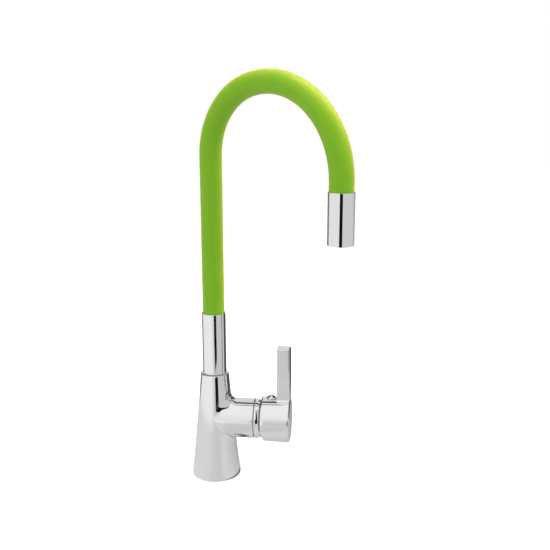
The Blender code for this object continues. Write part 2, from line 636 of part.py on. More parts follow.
def make_stem():
    """Flat bar from the disc carrier to the handle's hub, its lower end a round-tipped tongue."""
    half = STEM_WIDTH / 2
    tip_place = PIVOT_PLACE - TONGUE_REACH
    shoulder = PIVOT_PLACE - half
    tip = arc((0, tip_place), TONGUE_TIP_RADIUS, math.pi, 2 * math.pi, 2 * ROUND_STEPS)
    waist = tip_place + TONGUE_TIP_RADIUS
    neck = PIVOT_PLACE - half - (half - TONGUE_HALF_WIDTH) / 2
    profile = tip + [(TONGUE_HALF_WIDTH, waist), (TONGUE_HALF_WIDTH, neck), (half, shoulder),
                     (half, STEM_END), (-half, STEM_END), (-half, shoulder),
                     (-TONGUE_HALF_WIDTH, neck), (-TONGUE_HALF_WIDTH, waist)]
    bm = bmesh.new()
    verts = [bm.verts.new((up, -STEM_THICKNESS / 2, along)) for up, along in profile]
    face = bm.faces.new(verts)
    raised = bmesh.ops.extrude_face_region(bm, geom=[face])["geom"]
    moved = [item for item in raised if isinstance(item, bmesh.types.BMVert)]
    bmesh.ops.translate(bm, verts=moved, vec=(0, STEM_THICKNESS, 0))
    stem = add_object("cartridge_stem", bm, ARM_FRAME, "steel")
    hole = rod("stem_pin_hole", (0, -STEM_WIDTH, PIVOT_PLACE), (0, STEM_WIDTH, PIVOT_PLACE),
               PIN_RADIUS + GAP, ARM_FRAME)
    return cut(stem, hole)


def make_handle():
    """Lever handle: a hollow round shell with a hub for the stem, and the upright post.

    The mouth is cut back below, so that the shell swings clear of the arm as it lifts.
    """
    start, end, floor = HANDLE_START, HANDLE_END, HANDLE_FLOOR
    inner = HANDLE_RADIUS - HANDLE_WALL
    lip = HANDLE_MOUTH_EDGE
    outline = [(inner, start)]
    outline += arc((HANDLE_RADIUS - lip, start + lip), lip, -math.pi / 2, 0)
    outline += arc((HANDLE_END_RADIUS - HANDLE_RIM, end - HANDLE_RIM), HANDLE_RIM, 0,
                   math.pi / 2, ROUND_STEPS + 1)
    outline += [(0, end), (0, HUB_START), (HUB_RADIUS, HUB_START), (HUB_RADIUS, floor),
                (inner, floor)]
    handle = turned("lever_handle", outline, ARM_FRAME, "chrome", LARGE_SIDES)

    post_foot = HANDLE_RADIUS - POST_ROOT_DEPTH
    post = block("post_casting", (post_foot, -POST_DEPTH / 2, POST_OUTER_FACE - POST_WIDTH),
                 (POST_RISE, POST_DEPTH / 2, POST_OUTER_FACE), ARM_FRAME, None, POST_EDGE)
    join(handle, post)

    beyond = HANDLE_RADIUS + OVERRUN
    relief = block("mouth_relief", (-beyond, -beyond, start - OVERRUN),
                   (-MOUTH_RELIEF_DROP, beyond, start + MOUTH_RELIEF_LENGTH), ARM_FRAME)
    half = STEM_WIDTH / 2 + GAP
    half_thickness = STEM_THICKNESS / 2 + GAP
    socket = block("stem_socket", (-half, -half_thickness, HUB_START - OVERRUN),
                   (half, half_thickness, STEM_END + GAP), ARM_FRAME)
    seat = HANDLE_RADIUS - PLUG_SEAT_DEPTH
    outside = HANDLE_RADIUS + OVERRUN
    plug_seat = rod("plug_seat", (seat, 0, PLUG_PLACE), (outside, 0, PLUG_PLACE),
                    PLUG_RADIUS + GAP, ARM_FRAME, None, MEDIUM_SIDES)
    key_hole = rod("key_hole", (0, 0, PLUG_PLACE), (outside, 0, PLUG_PLACE),
                   PLUG_SPIGOT_RADIUS + GAP, ARM_FRAME)
    return cut(handle, relief, socket, plug_seat, key_hole)


def make_grub_screw():
    """Headless screw in the hub that locks the handle on the stem."""
    foot = STEM_WIDTH / 2 + GAP
    head = foot + GRUB_LENGTH
    screw = rod("grub_screw", (foot, 0, PLUG_PLACE), (head, 0, PLUG_PLACE), GRUB_RADIUS,
                ARM_FRAME, "steel")
    key = rod("grub_key_socket", (head - GRUB_SOCKET_DEPTH, 0, PLUG_PLACE),
              (head + OVERRUN, 0, PLUG_PLACE), GRUB_SOCKET_RADIUS, ARM_FRAME, None, 6)
    return cut(screw, key)


def make_index_plug():
    """Round button that closes the screw's hole on top of the handle."""
    foot = HANDLE_RADIUS - PLUG_SEAT_DEPTH + GAP
    head = HANDLE_RADIUS + PLUG_PROUD
    spigot_end = foot - PLUG_SPIGOT_LENGTH
    outline = [(0, spigot_end), (PLUG_SPIGOT_RADIUS, spigot_end), (PLUG_SPIGOT_RADIUS, foot),
               (PLUG_RADIUS, foot), (PLUG_RADIUS, head - PLUG_EDGE),
               (PLUG_RADIUS - PLUG_EDGE, head), (0, head)]
    upright = Matrix.Translation((PLUG_PLACE, 0, ARM_HEIGHT))
    return turned("index_plug", outline, upright, "chrome", MEDIUM_SIDES)


def make_spigot():
    """Brass tube that turns in the body and carries the hose on its upper nipple."""
    foot = SOCKET_FLOOR + SPIGOT_FOOT_GAP
    groove = CLIP_INNER_RADIUS - GAP
    shoulder = HOSE_SEAT - GAP
    outline = [(SPIGOT_BORE, foot), (SPIGOT_RADIUS, foot)]
    for depth in reversed(ORING_DEPTHS):
        middle = BODY_HEIGHT - depth
        half = ORING_SECTION + GAP
        floor = SOCKET_RADIUS - 2 * ORING_SECTION - 2 * GAP
        outline += [(SPIGOT_RADIUS, middle - half), (floor, middle - half),
                    (floor, middle + half), (SPIGOT_RADIUS, middle + half)]
    outline += [(SPIGOT_RADIUS, CLIP_BOTTOM - GAP), (groove, CLIP_BOTTOM - GAP),
                (groove, CLIP_TOP + GAP), (SPIGOT_RADIUS, CLIP_TOP + GAP),
                (SPIGOT_RADIUS, NECK_BOTTOM), (SPIGOT_SHOULDER_RADIUS, NECK_BOTTOM),
                (SPIGOT_SHOULDER_RADIUS, shoulder), (NIPPLE_RADIUS, shoulder),
                (NIPPLE_RADIUS, shoulder + NIPPLE_LENGTH), (NIPPLE_BORE, shoulder + NIPPLE_LENGTH),
                (NIPPLE_BORE, shoulder - SPIGOT_BORE), (SPIGOT_BORE, shoulder - SPIGOT_BORE)]
    return turned("spout_spigot", outline, SPOUT_FRAME, "brass")


def make_spigot_orings():
    """Two O-rings that seal the spigot in its socket."""
    centre = SOCKET_RADIUS - GAP / 2 - ORING_SECTION
    rings = []
    for name, depth in zip(("upper", "lower"), ORING_DEPTHS):
        outline = arc((centre, BODY_HEIGHT - depth), ORING_SECTION, 0, 2 * math.pi, 6)[:-1]
        rings.append(turned(f"spigot_oring_{name}", outline, SPOUT_FRAME, "black_rubber"))
    return rings


def make_retaining_clip():
    """Split ring that keeps the spigot in the body and lets it turn."""
    clip = tube("retaining_clip", CLIP_INNER_RADIUS, CLIP_OUTER_RADIUS, CLIP_BOTTOM, CLIP_TOP,
                SPOUT_FRAME, "steel")
    mouth = block("clip_mouth", (-CLIP_OUTER_RADIUS - OVERRUN, -CLIP_MOUTH / 2, CLIP_BOTTOM - OVERRUN),
                  (0, CLIP_MOUTH / 2, CLIP_TOP + OVERRUN), SPOUT_FRAME)
    return cut(clip, mouth)


def make_swivel_washer():
    """Thin plastic ring that the neck sleeve turns on."""
    return tube("swivel_washer", SOCKET_RADIUS + GAP, WASHER_RADIUS, BODY_HEIGHT + GAP, WASHER_TOP,
                BODY_FRAME, "white_plastic")


def make_neck_sleeve():
    """Chrome sleeve over the spigot; its upper end is the ferrule round the hose."""
    edge = NECK_EDGE
    bore = SPIGOT_SHOULDER_RADIUS + GAP
    cup = NECK_RADIUS - NECK_WALL
    step = HOSE_SEAT - GAP
    outline = [(NECK_RADIUS - edge, NECK_BOTTOM), (NECK_RADIUS, NECK_BOTTOM + edge),
               (NECK_RADIUS, NECK_TOP - edge), (NECK_RADIUS - edge, NECK_TOP), (cup, NECK_TOP),
               (cup, step), (bore, step), (bore, NECK_BOTTOM)]
    return turned("neck_sleeve", outline, SPOUT_FRAME, "chrome", LARGE_SIDES)


def hose_point(distance):
    """Point and heading of the hose's centre line at a distance from its lower seat.

    The line starts upright, bends over in two arcs and comes down to the outlet, all in the
    spout frame's xz plane. The heading is the angle from straight up towards the outlet.
    """
    x, z, heading = 0.0, HOSE_SEAT, 0.0
    left = distance
    for index, (length, turn) in enumerate(HOSE_STRETCHES):
        last = index == len(HOSE_STRETCHES) - 1
        step = left if last else min(left, length)
        if turn:
            radius = length / turn
            angle = step / radius
            x += radius * (math.cos(heading) - math.cos(heading + angle))
            z += radius * (math.sin(heading + angle) - math.sin(heading))
            heading += angle
        else:
            x += step * math.sin(heading)
            z += step * math.cos(heading)
        left -= step
        if left <= 0:
            break
    return Vector((x, 0, z)), heading


def heading_vector(heading):
    """Unit vector of a heading in the spout's plane."""
    return Vector((math.sin(heading), 0, math.cos(heading)))


def body_stations(start, end):
    """Distances along a stretch of hose, a ring each, closer together round the arch."""
    stations = {start, end}
    passed = 0
    for length, turn in HOSE_STRETCHES:
        low, high = max(start, passed), min(end, passed + length)
        if high > low:
            share = (high - low) / length
            steps = max(1, math.ceil(turn * share / BEND_STEP)) if turn else 1
            stations.update(low + (high - low) * i / steps for i in range(steps + 1))
        passed += length
    ordered = sorted(stations)
    return [ordered[0]] + [b for a, b in zip(ordered, ordered[1:]) if b - a > SLEEVE_WALL]


def ball_ring(joint, radius, ring_radius, side):
    """Ring of a given radius where it lies on a ball round a hose joint, ahead or behind it."""
    point, heading = hose_point(joint)
    offset = math.sqrt(max(radius ** 2 - ring_radius ** 2, 0))
    return point + side * offset * heading_vector(heading), heading, ring_radius


def section_rings(lower, upper, outer, bore):
    """Rings of one section of a hose layer, up its outside and back down its bore.

    Its upper end is a ball round the joint there and its lower end a cup round the ball of the
    section below. Where there is no joint, the end is cut square at the hose's seat.
    """
    ball, cup = SLEEVE_RADIUS, SLEEVE_RADIUS + SOCKET_CLEARANCE
    start = lower + SOCKET_RIM_SETBACK if lower else 0
    end = upper if upper else HOSE_LENGTH
    outside = [(*hose_point(d), outer) for d in body_stations(start, end)]
    inside = [(p, h, bore) for p, h, r in reversed(outside)]
    full_size = outer > ball - GAP
    if upper:
        dome = [ball_ring(upper, ball, bore + (outer - bore) * share, 1)
                for share in ((0.85, 0.5, 0) if full_size else (1, 0))]
        if not full_size:
            outside.pop()
        inside.pop(0)
        outside += dome
    if lower:
        rim = math.sqrt(cup ** 2 - SOCKET_RIM_SETBACK ** 2)
        shares = (1, 0.55, 0) if full_size else (1, 0)
        edge = rim if full_size else outer
        hollow = [ball_ring(lower, cup, bore + (edge - bore) * share, 1)
                  for share in reversed(shares)]
        inside.pop()
        if not full_size:
            outside.pop(0)
        inside += hollow
    return outside + inside


def make_hose_section(name, lower, upper, outer, bore, finish_name, sides):
    """One section of a hose layer as a closed solid that rings are bridged into."""
    rings = section_rings(lower, upper, outer, bore)
    bm = bmesh.new()
    loops = []
    for centre, heading, radius in rings:
        across = Vector((0, 1, 0))
        outward = across.cross(heading_vector(heading))
        loops.append([bm.verts.new(centre + radius * (math.cos(a) * outward + math.sin(a) * across))
                      for a in (2 * math.pi * i / sides for i in range(sides))])
    for ring, following in zip(loops, loops[1:] + loops[:1]):
        for i in range(sides):
            j = (i + 1) % sides
            bm.faces.new((ring[i], ring[j], following[j], following[i]))
    return add_object(name, bm, SPOUT_FRAME, finish_name)


def make_hose_sections():
    """Every section of the hose from neck to outlet: a list of its three layers for each."""
    layers = (
        ("silicone_sleeve", SLEEVE_RADIUS, SLEEVE_BORE, "green_silicone", SLEEVE_SIDES),
        ("gooseneck_core", CORE_RADIUS, CORE_BORE, "steel", CORE_SIDES),
        ("water_hose", WATER_HOSE_RADIUS, WATER_HOSE_BORE, "white_plastic", WATER_HOSE_SIDES),
    )
    ends = (0, *HOSE_JOINTS, 0)
    return [[make_hose_section(f"{layer}_{number}", lower, upper, outer, bore, look, sides)
             for layer, outer, bore, look, sides in layers]
            for number, (lower, upper) in enumerate(zip(ends, ends[1:]), start=1)]


def make_outlet_connector():
    """Brass connector in the outlet: a nipple for the hose above, a threaded cup below."""
    outer = OUTLET_RADIUS - OUTLET_WALL - GAP
    top = OUTLET_SEAT - GAP
    bottom = top - CONNECTOR_HEIGHT
    cup = outer - CONNECTOR_WALL
    floor = top - CONNECTOR_FLOOR
    outline = [(outer, bottom), (outer, top), (NIPPLE_RADIUS, top),
               (NIPPLE_RADIUS, top + NIPPLE_LENGTH), (NIPPLE_BORE, top + NIPPLE_LENGTH),
               (NIPPLE_BORE, floor), (cup, floor), (cup, bottom)]
    return turned("outlet_connector", outline, OUTLET_FRAME, "brass")


def make_outlet_sleeve():
    """Chrome sleeve of the outlet, open at both ends."""
    edge = OUTLET_EDGE
    inner = OUTLET_RADIUS - OUTLET_WALL
    outline = [(OUTLET_RADIUS - edge, OUTLET_BOTTOM), (OUTLET_RADIUS, OUTLET_BOTTOM + edge),
               (OUTLET_RADIUS, OUTLET_TOP - edge), (OUTLET_RADIUS - edge, OUTLET_TOP),
               (inner, OUTLET_TOP), (inner, OUTLET_BOTTOM)]
    return turned("outlet_sleeve", outline, OUTLET_FRAME, "chrome", LARGE_SIDES)


def aerator_sizes():
    """Radii and heights that the aerator's pieces share."""
    connector_radius = OUTLET_RADIUS - OUTLET_WALL - GAP
    thread = connector_radius - CONNECTOR_WALL - GAP
    shoulder = OUTLET_SEAT - GAP - CONNECTOR_HEIGHT - GAP
    return {
        "outer": connector_radius,
        "thread": thread,
        "bore": thread - AERATOR_THREAD_WALL,
        "bottom": OUTLET_BOTTOM + AERATOR_RECESS,
        "shoulder": shoulder,
        "top": shoulder + AERATOR_THREAD_LENGTH,
    }


def make_aerator_housing():
    """Screw-in housing of the aerator, with a lip under the screen."""
    at = aerator_sizes()
    lip_top = at["bottom"] + AERATOR_LIP_THICKNESS
    opening = at["bore"] - AERATOR_LIP
    outline = [(at["outer"], at["bottom"]), (at["outer"], at["shoulder"]),
               (at["thread"], at["shoulder"]), (at["thread"], at["top"]), (at["bore"], at["top"]),
               (at["bore"], lip_top), (opening, lip_top), (opening, at["bottom"])]
    return turned("aerator_housing", outline, OUTLET_FRAME, "steel")


def make_aerator_screen():
    """Honeycomb screen that the water leaves through."""
    at = aerator_sizes()
    bottom = at["bottom"] + AERATOR_LIP_THICKNESS + GAP
    top = bottom + SCREEN_THICKNESS
    radius = at["bore"] - GAP
    screen = plate("aerator_screen", radius, bottom, top, OUTLET_FRAME, "grey_plastic")
    span = range(-SCREEN_HOLE_RINGS, SCREEN_HOLE_RINGS + 1)
    for row in span:
        for column in span:
            if abs(row + column) <= SCREEN_HOLE_RINGS:
                place = (SCREEN_HOLE_PITCH * (column + row / 2),
                         SCREEN_HOLE_PITCH * row * math.sin(math.pi / 3))
                cut(screen, rod(f"screen_hole_{row}_{column}", (*place, bottom - OVERRUN),
                                (*place, top + OVERRUN), SCREEN_HOLE_RADIUS, OUTLET_FRAME, None, 6))
    return screen


def make_aerator_insert():
    """Plastic insert with a ring of jets that draws air into the water."""
    at = aerator_sizes()
    bottom = at["bottom"] + AERATOR_LIP_THICKNESS + GAP + SCREEN_THICKNESS + GAP
    top = bottom + INSERT_LENGTH
    radius = at["bore"] - GAP
    insert = plate("aerator_insert", radius, bottom, top, OUTLET_FRAME, "white_plastic")
    for number in range(INSERT_JET_COUNT):
        angle = 2 * math.pi * number / INSERT_JET_COUNT
        place = (INSERT_JET_CIRCLE * math.cos(angle), INSERT_JET_CIRCLE * math.sin(angle))
        cut(insert, rod(f"insert_jet_{number}", (*place, bottom - OVERRUN),
                        (*place, top + OVERRUN), INSERT_JET_RADIUS, OUTLET_FRAME, None, 6))
    return insert


def make_aerator_gasket():
    """Flat ring between the aerator and the connector."""
    at = aerator_sizes()
    floor = OUTLET_SEAT - GAP - CONNECTOR_FLOOR
    return tube("aerator_gasket", GASKET_INNER_RADIUS, at["thread"], floor - GAP - GASKET_THICKNESS,
                floor - GAP, OUTLET_FRAME, "black_rubber")


def joint_places():
    """World place and axis of each hose joint, lowest first.

    The second and the last joint swing sideways; the others bend in the plane of the arch.
    """
    places = []
    turn = SPOUT_FRAME.to_3x3()
    for number, distance in enumerate(HOSE_JOINTS, start=1):
        point, heading = hose_point(distance)
        sideways = number in (2, len(HOSE_JOINTS))
        across = Vector((0, 1, 0))
        axis = across.cross(heading_vector(heading)) if sideways else across
        places.append((turn @ point, turn @ axis))
    return places


def main():
    clear_scene()
    make_body()
    make_base_seal()
    make_swivel_washer()
    make_cartridge_base()
    make_port_seals()
    make_fixed_disc()
    make_cartridge_housing()
    make_cartridge_nut()
    make_cover_ring()

    turn_axis = joint_empty("temperature_turn_axis", (PIVOT_PLACE, 0, ARM_HEIGHT))
    carry(turn_axis, [make_rotor(), make_stem_pin()])
    slide_axis = joint_empty("disc_slide_axis", (CAVITY_FLOOR + MOVING_DISC_BACK, 0, ARM_HEIGHT),
                             turn_axis)
    carry(slide_axis, [make_moving_disc(), make_disc_carrier()])
    lift_axis = joint_empty("flow_lift_axis", (PIVOT_PLACE, 0, ARM_HEIGHT), turn_axis)
    carry(lift_axis, [make_stem(), make_handle(), make_grub_screw(), make_index_plug()])

    swivel_axis = joint_empty("spout_swivel_axis", (0, 0, BODY_HEIGHT))
    carry(swivel_axis, [make_spigot(), *make_spigot_orings(), make_retaining_clip(),
                        make_neck_sleeve()])
    sections = make_hose_sections()
    carry(swivel_axis, sections[0])
    link = swivel_axis
    for number, (section, (place, axis)) in enumerate(zip(sections[1:], joint_places()), start=1):
        link = joint_empty(f"hose_bend_{number}_axis", place, link)
        carry(link, section)
    carry(link, [make_outlet_connector(), make_outlet_sleeve(), make_aerator_housing(),
                 make_aerator_screen(), make_aerator_insert(), make_aerator_gasket()])


main()
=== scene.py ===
"""Finished surfaces, hose and studio of a flexible kitchen faucet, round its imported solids."""

import json
import math

import bmesh
import bpy
import numpy as np
from bpy.props import FloatProperty, FloatVectorProperty, IntProperty, PointerProperty
from mathutils import Matrix, Vector

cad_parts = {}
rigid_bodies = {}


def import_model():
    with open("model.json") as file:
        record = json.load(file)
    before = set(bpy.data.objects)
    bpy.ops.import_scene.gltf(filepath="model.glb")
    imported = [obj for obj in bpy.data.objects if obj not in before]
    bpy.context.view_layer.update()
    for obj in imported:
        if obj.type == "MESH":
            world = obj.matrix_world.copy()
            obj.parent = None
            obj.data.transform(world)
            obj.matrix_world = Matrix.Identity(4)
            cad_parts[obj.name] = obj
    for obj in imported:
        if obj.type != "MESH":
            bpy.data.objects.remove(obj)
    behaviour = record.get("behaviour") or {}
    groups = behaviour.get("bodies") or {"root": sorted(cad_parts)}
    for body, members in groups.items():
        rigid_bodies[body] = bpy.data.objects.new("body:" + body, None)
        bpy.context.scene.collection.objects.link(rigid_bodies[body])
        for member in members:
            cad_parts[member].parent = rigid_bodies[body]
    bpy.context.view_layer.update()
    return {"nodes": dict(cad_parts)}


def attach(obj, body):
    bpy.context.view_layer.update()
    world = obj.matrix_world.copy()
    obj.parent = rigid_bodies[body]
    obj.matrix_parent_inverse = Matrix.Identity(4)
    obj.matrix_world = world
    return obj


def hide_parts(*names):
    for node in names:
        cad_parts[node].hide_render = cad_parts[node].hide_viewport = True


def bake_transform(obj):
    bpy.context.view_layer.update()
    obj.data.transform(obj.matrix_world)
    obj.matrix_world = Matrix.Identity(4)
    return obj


bl_info = {
    "name": "Flexible Kitchen Faucet",
    "version": (1, 0, 0),
    "blender": (4, 5, 0),
    "location": "3D View > Sidebar > Faucet",
    "description": "Builds the castings, lever, gooseneck hose and studio of a kitchen faucet",
    "category": "Add Mesh",
}

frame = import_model()

MM = 0.001
DEG = math.pi / 180
WELD = 0.002 * MM
CREASE = 32 * DEG
OVERRUN = 4 * MM
CLEARANCE = 0.3 * MM

# Facets round a turned piece, a bore and a drilled hole, and along a rounded edge
FINE_SIDES, BORE_SIDES, DRILL_SIDES = 180, 96, 48
EDGE_STEPS = 6

# The plug's distance from the cone's axis, along the arm
PLUG_PLACE = 61.8 * MM

# Stations of the hose joints along its centre line, in metres from the lower seat
HOSE_JOINTS = (0.0796425, 0.1525, 0.2254, 0.2939, 0.3625, 0.4268)
LINE_POINTS = 600


# Settings that the sidebar shows

def length(title, text, millimetres):
    """A length in metres, given here in millimetres."""
    return FloatProperty(name=title, description=text, default=millimetres * MM, min=0,
                         subtype="DISTANCE", unit="LENGTH", precision=5)


def angle(title, text, degrees):
    """An angle in radians, given here in degrees."""
    return FloatProperty(name=title, description=text, default=degrees * DEG,
                         subtype="ANGLE", unit="ROTATION")


def colour(title, text, *value):
    """A linear colour swatch."""
    return FloatVectorProperty(name=title, description=text, default=value, min=0, max=1,
                               size=3, subtype="COLOR")


class FaucetSizes(bpy.types.PropertyGroup):
    """Lengths of the faucet's visible pieces."""

    base_radius: length("Base radius", "Outside radius of the cone at the worktop", 26.6)
    top_radius: length("Top radius", "Outside radius of the cone under the neck", 15.0)
    body_height: length("Body height", "Height of the cone", 117.0)
    waist: length("Waist", "How far the cone's side draws in at mid height", 0.35)
    arm_height: length("Arm height", "Height of the arm's axis over the worktop", 65.3)
    arm_radius: length("Arm radius", "Outside radius of the arm", 21.4)
    arm_root_radius: length("Arm root radius", "Radius of the arm on the cone's axis", 18.3)
    arm_reach: length("Arm reach", "Distance from the cone's axis to the arm's end", 43.8)
    cover_front: length("Cover front", "Distance from the cone's axis to the ring's end", 50.9)
    handle_start: length("Lever start", "Distance from the cone's axis to the lever's mouth", 51.2)
    handle_end: length("Lever end", "Distance from the cone's axis to the lever's end face", 82.9)
    handle_radius: length("Lever radius", "Outside radius of the lever's shell at its mouth", 24.0)
    handle_end_radius: length("Lever end radius", "Outside radius of the shell at its end", 24.8)
    mouth_relief: length("Mouth relief", "How far the lever's mouth is cut back below", 2.4)
    post_width: length("Post width", "Width of the upright post along the arm", 14.9)
    post_depth: length("Post depth", "Thickness of the upright post across the arm", 13.0)
    post_rise: length("Post rise", "Height of the post's top over the arm's axis", 82.0)
    post_edge: length("Post edge", "Radius of the post's upright edges", 0.5)
    post_crown: length("Post crown", "Radius of the edges round the post's top", 1.2)
    bevel_length: length("Bevel length", "Bevel at the lever's end, along the arm", 1.2)
    bevel_depth: length("Bevel depth", "Bevel at the lever's end, towards its middle", 2.8)
    neck_radius: length("Neck radius", "Outside radius of the neck sleeve", 12.6)
    neck_top: length("Neck top", "Height of the neck sleeve's upper rim", 184.5)
    hose_radius: length("Hose radius", "Outside radius of the silicone hose", 11.5)
    hose_wall: length("Hose wall", "Thickness of the silicone", 2.8)
    hose_seat: length("Hose seat", "Height at which the hose starts in the neck", 152.0)
    spring_height: length("Arch spring", "Height at which the hose starts to bend over", 349.7)
    back_radius: length("Back bend", "Radius of the arch's rising bend", 71.5)
    reach: length("Reach", "Distance from the neck's axis to the outlet's", 164.1)
    outlet_seat: length("Outlet seat", "Height at which the hose ends in the outlet", 302.3)
    outlet_radius: length("Outlet radius", "Outside radius of the outlet sleeve", 12.4)
    outlet_top: length("Outlet top", "Height of the outlet sleeve's upper rim", 326.0)
    outlet_bottom: length("Outlet bottom", "Height of the outlet sleeve's lower rim", 278.1)
    back_turn: angle("Back turn", "Angle of the arch's rising bend", 72)
    spout_turn: angle("Spout turn", "Direction of the spout at rest", -35)
    screen_rings: IntProperty(name="Screen rings", description="Rings of holes in the aerator",
                              default=2, min=1, max=4)


class FaucetColours(bpy.types.PropertyGroup):
    """Colours of the faucet's finishes and of the studio."""

    chrome: colour("Chrome", "Plated surfaces", 0.83, 0.83, 0.83)
    silicone: colour("Silicone", "Hose", 0.190, 0.465, 0.018)
    # The brass tone is darkened below real brass as painted shade, so that inner parts seen inside
    # the gaps look dark
    brass: colour("Brass", "Turned inner parts", 0.34, 0.25, 0.11)
    steel: colour("Steel", "Screws, pins and the gooseneck coil", 0.58, 0.585, 0.59)
    rubber: colour("Rubber", "Seals", 0.028, 0.028, 0.028)
    white_plastic: colour("White plastic", "Cartridge and washer", 0.78, 0.78, 0.75)
    grey_plastic: colour("Grey plastic", "Cartridge shell and aerator screen", 0.34, 0.35, 0.37)
    ceramic: colour("Ceramic", "Valve discs", 0.88, 0.88, 0.86)
    floor: colour("Floor", "Studio floor", 0.80, 0.80, 0.80)


# Node trees written as Python

def overload(operation, swapped=False):
    """A method that adds a Math node for an operator or, swapped, for its reflected form."""
    def method(self, other):
        first, second = (other, self) if swapped else (self, other)
        return self.tree.node("ShaderNodeMath", {"operation": operation},
                              {0: first, 1: second})
    return method


class Signal:
    """An output socket; Python arithmetic on it adds Math nodes."""

    __add__, __radd__ = overload("ADD"), overload("ADD", True)
    __sub__, __rsub__ = overload("SUBTRACT"), overload("SUBTRACT", True)
    __mul__, __rmul__ = overload("MULTIPLY"), overload("MULTIPLY", True)
    __truediv__, __rtruediv__ = overload("DIVIDE"), overload("DIVIDE", True)
    __gt__, __lt__ = overload("GREATER_THAN"), overload("LESS_THAN")
    at_least, at_most = overload("MAXIMUM"), overload("MINIMUM")
    arctan2 = overload("ARCTAN2")

    def __init__(self, tree, socket):
        self.tree = tree
        self.socket = socket

    def output(self, name):
        """Another output of the same node."""
        return Signal(self.tree, self.socket.node.outputs[name])

    def math(self, operation):
        """This value through a Math node that takes one value."""
        return self.tree.node("ShaderNodeMath", {"operation": operation}, {0: self})

    def ramp(self, start, end):
        """Rise from 0 to 1 between two values, held at both ends."""
        return ((self - start) / (end - start)).at_least(0).at_most(1)

    def between(self, low, high):
        """1 between two values and 0 outside them."""
        return (self > low) * (self < high)

    def toward(self, other, share):
        """Blend into another value by a share."""
        return self + (other - self) * share


class Tree:
    """A node tree that is being built, for a material, the world or a modifier."""

    def __init__(self, tree):
        self.tree = tree
        tree.nodes.clear()

    def node(self, kind, settings=None, inputs=None, output=0):
        """Add a node: its settings first, then the values or links of its sockets."""
        node = self.tree.nodes.new(kind)
        for key, value in (settings or {}).items():
            if key == "stops":
                ramp = node.color_ramp.elements
                ramp.remove(ramp[1])
                ramp[0].position, ramp[0].color = value[0]
                for place, tone in value[1:]:
                    ramp.new(place).color = tone
            else:
                setattr(node, key, value)
        for key, value in (inputs or {}).items():
            socket = node.inputs[key]
            if isinstance(value, Signal):
                self.tree.links.new(value.socket, socket)
            else:
                socket.default_value = value
        return Signal(self, node.outputs[output]) if node.outputs else node

    def mix_colour(self, factor, *tones):
        """Blend two colours by a factor."""
        first, second = (tone if isinstance(tone, Signal) else (*tone, 1) for tone in tones)
        return self.node("ShaderNodeMix", {"data_type": "RGBA"},
                         {0: factor, 6: first, 7: second}, 2)

    def shades(self, factor, value, low, high):
        """Blend a darker and a lighter shade of one colour by a factor."""
        return self.mix_colour(factor, shade(value, low), shade(value, high))

    def vector(self, operation, first, second, socket=1):
        return self.node("ShaderNodeVectorMath", {"operation": operation},
                         {0: first, socket: second})

    def place(self, axis="X", kind="Object"):
        """One axis of the place on the object, or of the world's direction."""
        return self.node("ShaderNodeSeparateXYZ", None,
                         {0: self.node("ShaderNodeTexCoord", output=kind)}, axis)

    def noise(self, scale, detail, stretch=None):
        """Noise over the object's own coordinates; scale counts features in a metre."""
        place = self.node("ShaderNodeTexCoord", output="Object")
        if stretch:
            place = self.node("ShaderNodeMapping", {"vector_type": "POINT"},
                              {"Vector": place, "Scale": stretch})
        return self.node("ShaderNodeTexNoise", {"noise_dimensions": "3D"},
                         {"Vector": place, "Scale": scale, "Detail": detail, "Roughness": 0.5})

    def bump(self, height, strength, millimetres):
        """Small relief from a height."""
        return self.node("ShaderNodeBump", None, {
            "Strength": strength, "Distance": millimetres * MM, "Height": height})

    def emission(self, tone, strength=1.0):
        return self.node("ShaderNodeEmission", None, {"Color": tone, "Strength": strength})

    def rays(self):
        """The light path, and 1 on rays by which the camera sees."""
        path = self.node("ShaderNodeLightPath", None, None, "Is Camera Ray")
        return path, (path + path.output("Is Transmission Ray")).at_most(1)


def shade(value, factor):
    """A colour made lighter or darker by a factor."""
    return tuple(min(1.0, channel * factor) for channel in value)


# Materials

METAL = {"Metallic": 1.0}
RUBBERY = {
    "IOR": 1.43, "Specular IOR Level": 0.65, "Specular Tint": (1.0, 0.80, 0.30, 1.0),
    "Subsurface Weight": 0.12, "Subsurface Radius": (0.6, 1.0, 0.2), "Subsurface Scale": 0.002,
    "Sheen Weight": 0.90, "Sheen Roughness": 0.35, "Sheen Tint": (1.0, 0.78, 0.22, 1.0),
}

# Material name; cloud and grain noise by scale, detail and stretch; darkest and lightest shade;
# roughness, with its rise by cloud and by grain; strength of the bump and its depth in
# millimetres; constants; a noise of its own for the bump
FINISHES = {
    "chrome": ("chrome_plating", (38, 2), (60, 3, (1, 1, 7)), (0.975, 1.02),
               (0.045, 0.03, 0.025), (0.03, 0.04), METAL, (900, 1)),
    "brass": ("turned_brass", (55, 3), (240, 2, (1, 1, 9)), (0.85, 1.05),
              (0.22, 0.14, 0.06), (0.15, 0.05), METAL, None),
    "steel": ("stainless_steel", (70, 2), (500, 2, (1, 1, 0.15)), (0.9, 1.08),
              (0.24, 0.1, 0.06), (0.12, 0.04), METAL, None),
    "rubber": ("black_rubber_seal", (48, 3), (1300, 2), (0.85, 1.15),
               (0.55, 0.08, 0.05), (0.2, 0.06), {}, None),
    "white_plastic": ("white_moulding", (48, 3), (1100, 2), (0.97, 1.03),
                      (0.34, 0.08, 0.05), (0.2, 0.04), {}, None),
    "grey_plastic": ("grey_moulding", (48, 3), (1100, 2), (0.95, 1.05),
                     (0.38, 0.08, 0.05), (0.2, 0.04), {}, None),
    "ceramic": ("fired_ceramic", (48, 3), (1600, 2), (0.98, 1.02),
                (0.12, 0.08, 0.05), (0.2, 0.02), {}, None),
}


